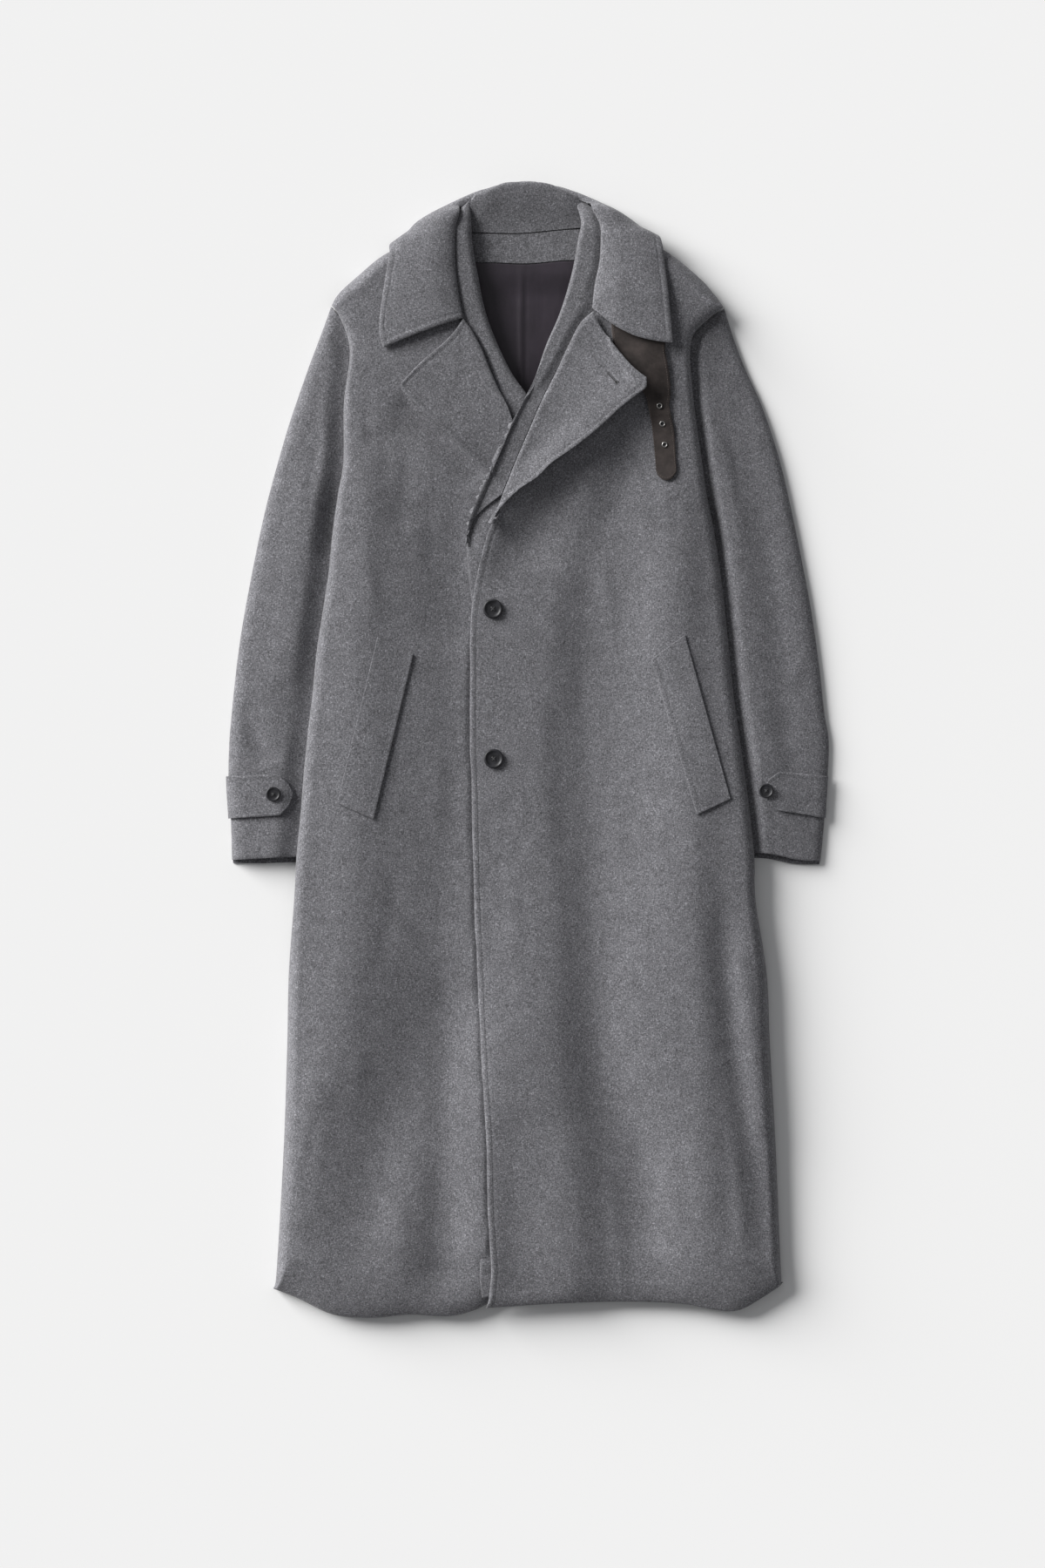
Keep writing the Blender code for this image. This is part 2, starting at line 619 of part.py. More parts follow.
# The top sleeve rolls over both edges; the under sleeve lies flat below it
def sleeve(side, sign, mat):
    across = [0, 0, 0.02, 0.06, 0.13, 0.24, 0.37, 0.52, 0.7, 0.93, 0.98, 1.0, 1.0]
    down = [0, 0.03, 0.07, 0.12] + [0.12 + 0.068 * i for i in range(1, 13)] + [1.0]
    rows = []
    for row in sleeve_rings(sign, across, down):
        width = run(row)
        out = []
        for j, (x, y) in enumerate(row):
            edge = WOOL + SEAM + (LIP if 0 < j < len(row) - 1 else 0.0)
            free = smooth(4.0, 46.0, abs(x) - abs(path_x(side_path(sign), y)))
            high = SLEEVE_COVERED + 9.5 * free + folds(x, y, SLEEVE_FOLDS) * free
            high = high + 1.2 * smooth(440, 500, y)
            high = high - 3.2 * smooth(205, 240, y) * (1 - free) * smooth(320, 280, y)
            q = min(roll(across[j] * width, 15.0), roll((1 - across[j]) * width, 9.0))
            out.append((x, y, edge + (high - edge) * q))
        rows.append(out)
    sheet("sleeve_top_" + side, rows, WOOL, mat, up=sign > 0)
    rows = []
    for i, row in enumerate(sleeve_rings(sign, [0.008, 0.25, 0.5, 0.75, 0.992], [0] + down[4:])):
        cuff = 6.0 * smooth(7, 12, i)
        rows.append([(x, y - cuff * k, 0.0) for (x, y), k in zip(row, (0.6, 1.0, 1.0, 0.8, 0.3))])
    sheet("sleeve_under_" + side, rows, WOOL, mat, up=sign < 0)


# Lapels lie on the fronts, rolled at the inner edge and lifted at the outer one
def lapel(name, edges, base, lift, stand, mat):
    across = [0, 0.04, 0.12, 0.28, 0.5, 0.72, 0.9, 1.0]
    plan = coons(edges, across, even(12))
    rows = []
    for i, row in enumerate(plan):
        width = run(row)
        out = []
        for j, (x, y) in enumerate(row):
            on = drape(base, x, y)
            if on is None:
                on = front_height(x, y) + lift(x, y)
            s = across[j]
            fade = smooth(1.0, 0.6, i / 12)
            high = on + GAP + LAPEL + fade * (stand[0] * (1 - s) ** 2 + stand[1] * s * s)
            over = smooth(392, 414, y) if edges is LAPEL_RIGHT else 1.0
            high = high - 2.6 * over * (1 - roll(s * width, 7.0))
            out.append((x, y, high))
        rows.append(out)
    return sheet(name, rows, LAPEL, mat, up=edges is LAPEL_RIGHT)


# Inner layer along the neck opening, a soft roll that drops to its inner edge
def inner_band(name, edges, sign, mat):
    across = [0, 0.04, 0.16, 0.5, 0.85, 1.0]
    rows = []
    for row in coons(edges, across, even(17)):
        width = run(row)
        out = []
        for j, (x, y) in enumerate(row):
            high = column(INNER_TOP, y, 1 if sign < 0 else 2)
            drop = column(INNER_TOP, y, 3 if sign < 0 else 4)
            tuck = 2.5 * smooth(0.7, 1.0, across[j]) * smooth(395, 440, y)
            out.append((x, y, high - drop * (1 - roll(across[j] * width, 9.0)) - tuck))
        rows.append(out)
    return sheet(name, rows, BAND, mat, up=sign < 0)


def inner_strip(mat):
    rows = []
    down = [0, 0.03, 0.06] + [0.06 + 0.048 * i for i in range(1, 19)] + [0.955, 0.97, 0.985, 1.0]
    for row in coons(INNER_STRIP, [0, 0.1, 0.5, 1.0], down):
        out = []
        for x, y in row:
            on = drape("front_right", x, y, 2.0)
            low = (on if on else front_height(x, y)) + GAP + THIN
            edge = path_x(FRONT_EDGE, y) + 3.0
            cover = drape("front_left", max(x, edge), y, 1.0)
            hang = smooth(-590, -610, y)
            out.append((x, y, low * (1 - hang) + (cover - WOOL - 1.0) * hang if hang else low))
        rows.append(out)
    return sheet("inner_front_left", rows, THIN, mat, up=False)


def collar(mat):
    columns = [spline([row[k] for row in COLLAR], 3) for k in range(5)]
    rows = []
    for section in zip(*columns):
        rows.append(spread(list(section), even(6)))
    return sheet("collar", rows, LAPEL - 0.6, mat, up=True)


def inner_collar(mat):
    rows = []
    down = [0, 0.05, 0.13, 0.3, 0.55, 0.8, 1.0]
    plan = coons(INNER_COLLAR, even(12), down)
    tall = run([row[6] for row in plan])
    for t, row in zip(down, plan):
        out = []
        for x, y in row:
            high = 10.5 + 7.9 * smooth(0.0, 1.0, 1 - t) * smooth(90, 42, abs(x)) + (1 - t)
            out.append((x, y, high - 2.4 * (1 - roll(t * tall, 6.0))))
        rows.append(out)
    return sheet("inner_collar", rows, WOOL, mat, up=False)


def drape_back(x, y):
    best = 0.0
    for dx, dy in ((0, 0), (9, 0), (-9, 0), (0, 9), (0, -9)):
        hit = SURFACES["back"].ray_cast(Vector((x + dx, y + dy, -50)), Vector((0, 0, 1)))
        if hit[0] is not None:
            best = max(best, hit[0].z)
    return best + WOOL


def on_back(name, edges, wall, mat, down):
    rows = []
    for row in coons(edges, even(6), even(down)):
        rows.append([(x, y, drape_back(x, y) + 0.6 + wall) for x, y in row])
    return sheet(name, rows, wall, mat, up=False)


def chest_strap(mat):
    across = [0, 0.3, 0.7, 1.0]
    down = [0, 0.15, 0.3, 0.42, 0.5, 0.555, 0.575, 0.595, 0.68, 0.76, 0.84, 0.92, 1.0]
    rows = []
    for row in coons(CHEST_STRAP, across, down):
        out = []
        for x, y in row:
            high = drape("front_left", x, y) + GAP + LEATHER
            out.append((x, y, high + 1.2 * smooth(STRAP_FOLD - 3, STRAP_FOLD + 1, y)))
        rows.append(out)
    return sheet("chest_strap", rows, LEATHER, mat, up=False)


def eyelet(name, x, y, mat):
    low = drape("chest_strap", x, y, 3.9) + 0.35
    rows = []
    for i in range(17):
        a = 2 * math.pi * (i % 16) / 16
        rows.append((math.cos(a), math.sin(a)))
    points = []
    faces = []
    profile = [(EYELET_IN, 0.0), (EYELET_OUT, 0.0), (EYELET_OUT - 0.4, 0.7), (EYELET_IN + 0.3, 0.9)]
    for i in range(16):
        for r, h in profile:
            points.append((x + r * rows[i][0], y + r * rows[i][1], low + h))
    for i in range(16):
        for j in range(4):
            a = i * 4 + j
            b = i * 4 + (j + 1) % 4
            c = ((i + 1) % 16) * 4 + (j + 1) % 4
            d = ((i + 1) % 16) * 4 + j
            faces.append((d, c, b, a))
    return place(name, points, faces, mat)


def welt(name, corners, base, mat):
    a, b, c, d = corners
    edges = {"top": [a, b], "side": [b, c], "bottom": [d, c], "inner": [a, d]}
    rows = []
    for row in coons(edges, [0, 0.33, 0.66, 1.0], even(12)):
        rows.append([(x, y, drape(base, x, y, 6.0) + GAP + WELT) for x, y in row])
    return sheet(name, rows, WELT, mat, up=a[0] > 0)


# Cuff strap: the sleeve's own surface moved out, from the outer side to the tip
def cuff_strap(name, base, sign, edge_rows, mat):
    outer = SLEEVE_OUT_RIGHT if sign < 0 else SLEEVE_OUT_LEFT
    low = [(f, v) for f, v in zip((0, 0.78, 0.93, 1.0), edge_rows[0])]
    high = [(f, v) for f, v in zip((0, 0.78, 0.93, 1.0), edge_rows[1])]
    rows = []
    for f in (0.0, 0.04, 0.08, 0.13, 0.2, 0.32, 0.46, 0.6, 0.78, 0.86, 0.93, 0.975, 1.0):
        out = []
        for k in even(4):
            y = column(low, f, 1) * (1 - k) + column(high, f, 1) * k
            rim = path_x(outer, y)
            reach = f * CUFF_STRAP_REACH[1]
            if reach < 14.0:
                turn = math.radians(-9.0 + 99.0 * reach / 14.0)
                start = Vector((rim - sign * 15.0, y, 8.0))
                ray = Vector((sign * math.cos(turn), 0, math.sin(turn)))
            else:
                start = Vector((rim - sign * (reach + 1.0), y, 8.0))
                ray = Vector((0, 0, 1))
            hit = SURFACES[base].ray_cast(start, ray)
            normal = hit[1] if hit[1].dot(ray) > 0 else -hit[1]
            out.append(tuple(hit[0] + normal * (3 * GAP + LEATHER)))
        rows.append(out)
    return sheet(name, rows, LEATHER, mat, up=sign > 0)


# Button: turned disc with a rim, a sunk middle and four holes
def button(name, x, y, radius, base, mat):
    low = drape(base, x, y, radius) + 0.45
    tall = radius * 0.34
    profile = [(0.86, 0.0), (1.0, 0.35), (0.95, 1.0), (0.8, 1.0), (0.68, 0.66)]
    around = 20
    points = [(x, y, low), (x, y, low + 0.66 * tall)]
    for i in range(around):
        a = 2 * math.pi * i / around
        for r, h in profile:
            points.append((x + r * radius * math.cos(a), y + r * radius * math.sin(a), low + h * tall))
    faces = []
    n = len(profile)
    for i in range(around):
        p = 2 + i * n
        q = 2 + ((i + 1) % around) * n
        faces.append((0, q, p))
        faces.append((1, p + n - 1, q + n - 1))
        for j in range(n - 1):
            faces.append((p + j, q + j, q + j + 1, p + j + 1))
    obj = place(name, points, faces, mat)
    drill(obj, x, y, low, tall, radius)
    return obj


def drill(obj, x, y, low, tall, radius):
    points = []
    faces = []
    for k in range(4):
        turn = math.pi / 4 + k * math.pi / 2 + 0.05
        cx = x + 0.27 * radius * math.cos(turn)
        cy = y + 0.27 * radius * math.sin(turn)
        n = len(points)
        for z in (low - 1.0, low + tall + 1.0):
            for i in range(6):
                a = 2 * math.pi * i / 6 + 0.2
                points.append((cx + 0.1 * radius * math.cos(a), cy + 0.1 * radius * math.sin(a), z))
        faces.append(tuple(range(n + 5, n - 1, -1)))
        faces.append(tuple(range(n + 6, n + 12)))
        for i in range(6):
            j = (i + 1) % 6
            faces.append((n + i, n + j, n + 6 + j, n + 6 + i))
    cutter = place(obj.name + "_holes", points, faces, obj.data.materials[0], GROUPS["cutters"])
    cutter.hide_render = True
    cutter.display_type = "WIRE"
    cut = obj.modifiers.new("holes", "BOOLEAN")
    cut.operation = "DIFFERENCE"
    cut.solver = "EXACT"
    cut.object = cutter


SURFACES = {}
GROUPS = {}


def start():
    for obj in list(bpy.data.objects):
        bpy.data.objects.remove(obj)
    for key, name in (("parts", NAME), ("cutters", "cutters")):
        GROUPS[key] = bpy.data.collections.new(name)
        bpy.context.scene.collection.children.link(GROUPS[key])
    GROUPS["cutters"].hide_render = True


def main():
    start()
    wool = material("wool", GREY, 0.92, 0.0)
    dark = material("lining", AUBERGINE, 0.45, 0.0)
    leather = material("leather", BROWN, 0.55, 0.0)
    horn = material("button", BLACK, 0.3, 0.0)
    steel = material("eyelet", STEEL, 0.35, 1.0)
    fronts(wool)
    back(wool)
    sleeve("right", -1, wool)
    sleeve("left", 1, wool)
    chest_strap(leather)
    lapel("lapel_right", LAPEL_RIGHT, "front_right", no_lift, (0.6, 2.5), wool)
    lapel("lapel_left", LAPEL_LEFT, "front_left chest_strap", lap_lift, (3.5, 3.5), wool)
    inner_band("inner_front_right", INNER_RIGHT, -1, wool)
    inner_band("inner_lapel_left", INNER_LEFT, 1, wool)
    inner_strip(wool)
    collar(wool)
    inner_collar(wool)
    on_back("neck_facing", NECK_FACING, THIN, wool, 3)
    on_back("lining", LINING, 1.2, dark, 5)
    for i, (x, y) in enumerate(EYELETS):
        eyelet("eyelet_%d" % (i + 1), x, y, steel)
    welt("pocket_welt_right", WELT_RIGHT, "front_right", wool)
    welt("pocket_welt_left", WELT_LEFT, "front_left", wool)
    cuff_strap("cuff_strap_right", "sleeve_top_right", -1, CUFF_STRAP_RIGHT, wool)
    cuff_strap("cuff_strap_left", "sleeve_top_left", 1, CUFF_STRAP_LEFT, wool)
    for i, (x, y) in enumerate(FRONT_BUTTONS):
        button("front_button_%d" % (i + 1), x, y, BUTTON_R, "front_left", horn)
    button("cuff_button_right", *CUFF_BUTTON_RIGHT, CUFF_BUTTON_R, "cuff_strap_right", horn)
    button("cuff_button_left", *CUFF_BUTTON_LEFT, CUFF_BUTTON_R, "cuff_strap_left", horn)


main()
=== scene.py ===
# Wool coat laid flat on its back: cloth shells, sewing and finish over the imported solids.
# Tables are in millimetres in the coat's drawing frame; metres() brings them to the row frame.
# Right and left are the wearer's: the wearer's right lies on the -X side.
import math

import bpy
import numpy as np
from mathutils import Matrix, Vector
from mathutils.bvhtree import BVHTree


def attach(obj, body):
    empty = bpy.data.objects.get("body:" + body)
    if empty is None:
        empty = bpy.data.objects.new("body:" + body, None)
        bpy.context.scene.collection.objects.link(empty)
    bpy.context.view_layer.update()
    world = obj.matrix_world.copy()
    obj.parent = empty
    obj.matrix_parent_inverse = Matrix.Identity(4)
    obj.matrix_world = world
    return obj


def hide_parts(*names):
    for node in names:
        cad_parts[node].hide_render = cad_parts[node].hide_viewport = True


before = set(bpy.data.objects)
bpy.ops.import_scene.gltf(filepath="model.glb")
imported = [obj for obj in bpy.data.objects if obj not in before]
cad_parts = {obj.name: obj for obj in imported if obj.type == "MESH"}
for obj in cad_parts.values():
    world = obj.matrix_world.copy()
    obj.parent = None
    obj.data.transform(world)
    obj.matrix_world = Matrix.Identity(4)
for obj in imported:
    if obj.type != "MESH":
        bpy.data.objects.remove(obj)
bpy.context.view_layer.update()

MM = 0.001
MIDDLE = np.array((1.421, 1.095, -0.006))

# Cloth walls and clearances
WOOL = 2.4
THIN = 1.6
GAP = 0.45
BAND = 3.0
LAPEL = 3.4
LEATHER = 2.2

# Distance of the topstitching from an edge: on lapels, collar and welts, on the front,
# on the cuff straps and on the leather
EDGE_SEWN = 6.0
FRONT_SEWN = 7.0
CUFF_SEWN = 5.0
LEATHER_SEWN = 3.0
# Radius of the threads, and a height above the whole coat
BUTTON_THREAD = 0.22
HOLE_THREAD = 0.24
ABOVE = 200.0

# Body heights
FRONT_TOP = 28.0
HEM_LIFT = 10.0
SHOULDER_TIP = 12.0
SEAM = 0.6
SIDE_ROLL = 15.0
SIDE_SLOPE = 62.0
TOP_ROLL = 17.0
HEM_ROLL = 26.0
SLEEVE_COVERED = 11.5
SLEEVE_LIFT = 12.8

# Body sides: height up the coat, right side, left side
SIDES = [
    (396, -210.5, 192.5), (332, -211.0, 201.5), (296, -217.0, 206.5), (250, -223.5, 215.5),
    (204, -228.0, 222.5), (158, -235.0, 228.0), (112, -242.0, 232.7), (66, -246.4, 237.5),
    (20, -252.0, 243.8), (-26, -256.5, 250.5), (-72, -260.2, 256.5), (-123, -265.0, 261.6),
    (-172, -267.6, 263.0), (-256, -274.0, 276.0), (-340, -276.0, 280.0), (-446, -279.5, 286.0),
    (-551, -285.2, 290.5), (-608, -289.0, 293.0),
]
# Height of the front armhole seam over the sleeve, up the coat
ARMHOLE = [(258, 16.0), (330, 15.6), (400, 15.8), (450, 16.8), (500, 18.2)]

# Armhole seams, shoulder seams and neck: points across, up
ARM_RIGHT = [(-224.5, 512), (-217, 502), (-209, 484), (-204, 466), (-204, 447), (-207, 426)]
ARM_LEFT = [(226.5, 510), (206, 494), (191, 477), (187.5, 453), (189.5, 426)]
SHOULDER_RIGHT = [(-86, 604), (-125, 588), (-164, 571), (-193, 548), (-216, 526), (-224.5, 512)]
SHOULDER_LEFT = [(88, 604), (130, 589), (165, 571), (198, 545), (215, 525), (226.5, 510)]
NECK = [(-75, 608), (-45, 600), (0, 596), (45, 600), (76, 608)]

# Where the fronts turn back, and the front edge on top
ROLL_RIGHT = [
    (-79, 612), (-84, 587), (-83, 553), (-77, 518), (-72, 499), (-63, 482.5),
    (-54, 466), (-41, 435), (-32, 415), (-23, 397), (-15, 380),
]
ROLL_LEFT = [
    (79, 617), (85, 602), (86, 585), (84, 560), (79, 537), (75, 518), (61, 490),
    (47, 463), (34, 435), (17, 401), (5, 373), (-8, 343), (-16, 324), (-30, 288),
    (-40, 261),
]
FRONT_EDGE = [
    (-46, 246), (-55, 212), (-62, 175), (-65, 138), (-65.5, 92), (-65.5, 1),
    (-64, -38), (-61, -172), (-57, -256), (-54, -324), (-50.4, -391),
    (-47.4, -437), (-45, -532), (-41, -591), (-42, -612), (-44, -630), (-47, -640),
]
UNDER_EDGE = [(13, 370), (15, 300), (17, 200), (17, -627)]
HEM_RIGHT = [
    (17, -627), (-34, -632), (-60, -643), (-89, -650), (-131.5, -648), (-154, -650),
    (-181, -652), (-223, -648), (-264, -629), (-292, -618),
]
HEM_LEFT = [
    (-47, -640), (-25, -639), (36, -635), (124, -633), (179, -635), (213, -641),
    (242, -642), (268.5, -628), (293, -611.5),
]
HEM_BACK = [(-291, -617), (-255, -626), (-150, -641), (0, -633), (150, -630), (255, -628), (292, -611)]

# Sleeves, outer edge from the shoulder to the cuff
SLEEVE_OUT_RIGHT = [
    (-225.5, 511), (-233, 490), (-242, 466), (-251, 442), (-265, 402), (-278, 362),
    (-300, 282), (-317, 202), (-331, 122), (-340, 42), (-343, 2), (-343.5, -38),
    (-341, -78), (-339.5, -125.5),
]
SLEEVE_OUT_LEFT = [
    (227.5, 509), (238, 475), (252, 438), (270.5, 397), (289, 342), (302.6, 286.5),
    (316, 222), (328, 158), (337, 94), (342.6, 43), (347.6, 11), (346, -35),
    (341.7, -90), (338, -127),
]
# Sleeves, hidden inner edge from the armpit to the cuff
SLEEVE_IN_RIGHT = [
    (-200, 258), (-196, 222), (-187, 180), (-177, 130), (-169, 60), (-172, 0), (-182, -70), (-190, -124),
]
SLEEVE_IN_LEFT = [
    (193, 258), (190, 222), (185, 180), (178, 130), (171, 60), (172, 0), (180, -70), (188, -128),
]
SLEEVE_CAP_RIGHT = [(-225.5, 511), (-207, 486), (-198.5, 450), (-199, 400), (-200, 330), (-200, 258)]
SLEEVE_CAP_LEFT = [(227.5, 509), (198, 487), (183, 452), (182.5, 410), (188, 340), (193, 258)]
SLEEVE_CUFF_RIGHT = [(-339.5, -125.5), (-266, -122), (-190, -124)]
SLEEVE_CUFF_LEFT = [(338, -127), (311, -125), (261, -117), (188, -128)]

# Long soft folds of the fronts: path, width of the left and right flank, height.
# A width or height with several values changes evenly along the path.
FOLDS = [
    ([(-82, 400), (-76, 250), (-72, 60), (-74, -60), (-84, -175), (-106, -290), (-134, -385),
      (-170, -476), (-196, -580), (-210, -640)],
     (40, 46, 48, 50, 48, 42, 32), (120, 180, 190, 150, 70, 40, 34), (-6.5, -10, -10.5, -10.5, -9, -7, -4)),
    ([(-84, -220), (-86, -380), (-90, -480), (-96, -640)], (30, 30, 34), (44, 40, 38), (-6, -9, -10.5)),
    ([(-16, -400), (-8, -520), (-4, -640)], 34, 60, (-3, -5, -6)),
    ([(-186, 390), (-190, 200), (-193, 0), (-200, -200), (-214, -330), (-236, -440)], 34, 32, 4.0),
    ([(-240, -360), (-252, -460), (-262, -560)], 20, 18, 2.5),
    ([(-60, 230), (-62, 0), (-60, -200), (-58, -400), (-56, -640)], 26, (30, 30, 36), (0.2, 0.5, 3.5)),
    ([(80, 240), (84, 100), (84, -60), (80, -180), (80, -300), (92, -385), (122, -455), (132, -540),
      (140, -650)],
     (60, 60, 56, 46, 44, 56, 60), (85, 85, 70, 46, 38, 34, 34), (-6, -8, -9, -10.5, -11.5, -11)),
    ([(36, 60), (40, -120)], 12, 18, -1.6),
    ([(172, 330), (182, 100), (188, -150), (198, -350), (208, -600)], 46, 26, 5.0),
    ([(224, -140), (236, -320), (262, -470), (278, -610)], 16, 20, -4.5),
    ([(-20, 215), (10, 258), (44, 296), (84, 330), (124, 366)], 30, 46, (-6, -9, -9, -8)),
    ([(-58, 190), (-44, 250), (-16, 292), (26, 328), (62, 360), (96, 396)], 14, 26, (4, 5, 4, 3)),
    ([(164, 330), (160, 200), (150, 80)], 34, 30, 4.0),
    ([(236, -200), (258, -330), (268, -460)], 13, 13, 3.0),
    ([(-170, 380), (-150, 330), (-140, 250)], 22, 30, -3.0),
    ([(-152, 412), (-122, 382), (-96, 360), (-68, 333), (-46, 308)], 20, 7, -4.0),
]
SLEEVE_FOLDS = [
    ([(-250, 330), (-272, 200), (-282, 60)], 24, 20, 2.5),
    ([(-262, 100), (-270, 50), (-262, -60)], 18, 22, -2.5),
    ([(-324, 60), (-304, -20)], 12, 12, -2.0),
    ([(240, 388), (284, 190), (304, -20)], 18, 15, -3.0),
    ([(262, 420), (306, 260), (322, 90)], 14, 12, 1.8),
    ([(268, 60), (290, -30)], 14, 12, 1.6),
]

# Lift of the left front over what it closes on: height up the coat, lift
LAP = [
    (-700, 6.5), (-612, 6.5), (-550, 4.2), (90, 4.2), (180, 5.4), (262, 7.8), (320, 10.0), (390, 10.0),
    (450, 4.0), (500, 1.5), (640, 1.0),
]
# The right front swells up to the closing edge: rise and how far it reaches back
BANK = (3.6, 90.0)

# Lapels: edge from the roll to the corner, outer edge, roll, hidden end
LAPEL_RIGHT = {
    "top": [(-73, 496), (-84, 480), (-98, 466), (-118, 449), (-132, 435), (-144, 422)],
    "side": [(-144, 422), (-143, 413.5), (-132, 403), (-118, 388.5), (-95, 368), (-68, 341.5), (-43, 318)],
    "inner": [
        (-73, 496), (-63, 482.5), (-54, 466), (-48, 453), (-41, 435), (-32, 415), (-23, 397), (-8, 355),
    ],
    "bottom": [(-8, 355), (-25, 335), (-43, 318)],
}
LAPEL_LEFT = {
    "top": [(76, 504), (83, 489), (97, 469), (119, 442), (137, 427)],
    "side": [
        (137, 427), (137, 417.5), (132, 411.5), (110, 395), (83, 370), (55.5, 348), (28, 329),
        (12, 313), (-8, 300), (-24, 285), (-35, 272), (-41, 260),
    ],
    "inner": [(76, 504), *ROLL_LEFT[6:14], (-38.5, 262)],
    "bottom": [(-38.5, 262), (-41, 260)],
}

# Inner layer seen as a rolled band along the neck opening
INNER_RIGHT = {
    "top": [(-63, 634), (-66.5, 634)],
    "side": [
        (-66.5, 634), (-77.5, 621.5), (-86, 609), (-87.5, 590), (-86.5, 553), (-81.5, 531),
        (-75, 498), (-62.5, 482), (-53.5, 465.5), (-47.5, 453), (-40.5, 435), (-31.5, 415),
        (-24, 399), (-20, 382), (-20, 364),
    ],
    "inner": [
        (-63, 634), (-65, 626), (-64, 609), (-63, 588), (-60, 565), (-56, 546), (-51, 518),
        (-45, 496.5), (-37.4, 476), (-28.5, 456), (-18, 435), (-8, 420), (0, 409), (7, 391),
        (0, 366),
    ],
    "bottom": [(0, 366), (-20, 364)],
}
INNER_LEFT = {
    "top": [(54, 635.5), (57.5, 636.5)],
    "side": [
        (57.5, 636.5), (69, 629), (82, 617), (88, 602), (89.5, 585), (88, 560), (82, 536),
        (79, 514), (64, 492), (48, 464), (33.3, 435.5), (16.3, 401.5), (4.3, 373.5),
        (-8.7, 343.5), (-16.7, 324.5), (-29, 294),
    ],
    "inner": [
        (54, 635.5), (62, 609), (59, 588), (51, 546), (38, 503), (22.6, 467), (10, 430), (0, 407),
        (-15, 378), (-30, 343), (-48, 302), (-59, 277), (-68, 253), (-70, 236),
    ],
    "bottom": [(-70, 236), (-69.4, 247), (-65, 260), (-57, 271), (-45, 282), (-29, 294)],
}
# Top of the inner layer: height up the coat, right, left, edge drop right, left
INNER_TOP = [
    (640, 10.5, 11.0, 1.5, 1.5), (630, 15.5, 16.0, 3.5, 3.5), (616, 22.5, 23.0, 7.0, 7.0),
    (600, 26.0, 26.5, 9.0, 9.0), (540, 26.5, 28.5, 9.0, 9.0),
    (480, 26.5, 31.0, 8.0, 9.0), (430, 26.5, 34.0, 6.0, 7.0), (405, 26.5, 35.3, 3.0, 2.6),
    (300, 26.5, 35.0, 3.0, 2.4), (230, 26.5, 33.6, 3.0, 2.4),
]
INNER_STRIP = {
    "top": [(-44, 300), (0, 300)],
    "side": [(0, 300), (0, -620)],
    "inner": [
        (-44, 300), (-62, 266), (-67.5, 246), (-69.5, 232), (-67.5, 206), (-64.5, 182),
        (-62.5, 160), (-63.8, 138), (-64.2, 60), (-64, -10), (-61, -110), (-59, -172),
        (-55, -256), (-51.5, -324), (-48.5, -400), (-49, -437), (-51.4, -484), (-53.5, -578),
        (-54, -606), (-51.4, -628),
    ],
    "bottom": [(-51.4, -628), (0, -620)],
}

# Outer collar, from one leaf round the back of the neck to the other:
# roll, crown, bend, under and edge of each section, each across, up, height
COLLAR = [
    ((-75, 497, 29.5), (-97, 490, 33.0), (-122, 481, 33.0), (-145, 472, 32.0), (-164, 463, 30.5)),
    ((-80, 522, 29.5), (-103, 516, 33.0), (-127, 509, 32.5), (-150, 500, 31.5), (-168, 488, 30.0)),
    ((-84, 551, 29.0), (-104, 548, 32.5), (-126, 544, 32.0), (-145, 541.5, 30.5), (-161, 541, 28.0)),
    ((-85, 577, 28.5), (-105, 575.5, 31.5), (-125, 573, 30.5), (-142, 570.5, 28.5), (-156, 569, 25.5)),
    ((-84, 600, 28.0), (-104, 598, 29.5), (-124, 594, 27.0), (-141, 589, 22.5), (-154, 582, 15.0)),
    ((-79, 618, 26.0), (-100, 615, 25.5), (-125, 605.5, 15.0), (-130, 598, 6.0), (-133, 588, 3.7)),
    ((-76, 626, 14.5), (-87, 626, 15.0), (-97.5, 621.5, 10.0), (-99, 613, 4.2), (-101, 574, 3.7)),
    ((-49, 635, 8.0), (-47, 643, 7.5), (-47, 643, 5.0), (-48, 625, 3.9), (-52, 567, 3.7)),
    ((0, 648, 10.0), (0, 652.5, 8.0), (0, 650, 5.2), (0, 630, 3.9), (0, 562, 3.7)),
    ((46, 636, 8.0), (44, 644, 7.5), (45, 642, 5.0), (46, 624, 3.9), (50, 567, 3.7)),
    ((70, 629, 15.5), (83, 628, 16.0), (96.5, 620.5, 10.0), (98, 612, 4.2), (100, 574, 3.7)),
    ((77, 622, 26.0), (98, 618.5, 25.5), (120, 607.5, 15.0), (126, 600, 6.0), (129, 590, 3.7)),
    ((86, 604, 28.0), (104, 602, 29.5), (124, 598, 27.5), (138, 595, 22.5), (148, 591, 16.0)),
    ((87, 585, 29.0), (104, 584, 32.0), (124, 582, 32.0), (141, 580, 30.0), (154, 578.5, 27.0)),
    ((85.5, 560, 30.5), (104, 558, 34.0), (125, 556.5, 34.0), (143, 555, 32.0), (157, 554, 29.0)),
    ((80.5, 537, 31.5), (100, 534, 36.5), (123, 530, 37.0), (143, 525, 36.0), (161, 521, 34.0)),
    ((77, 508, 33.0), (100, 489, 37.5), (122, 477, 38.5), (144, 471, 38.0), (166, 468, 36.0)),
]

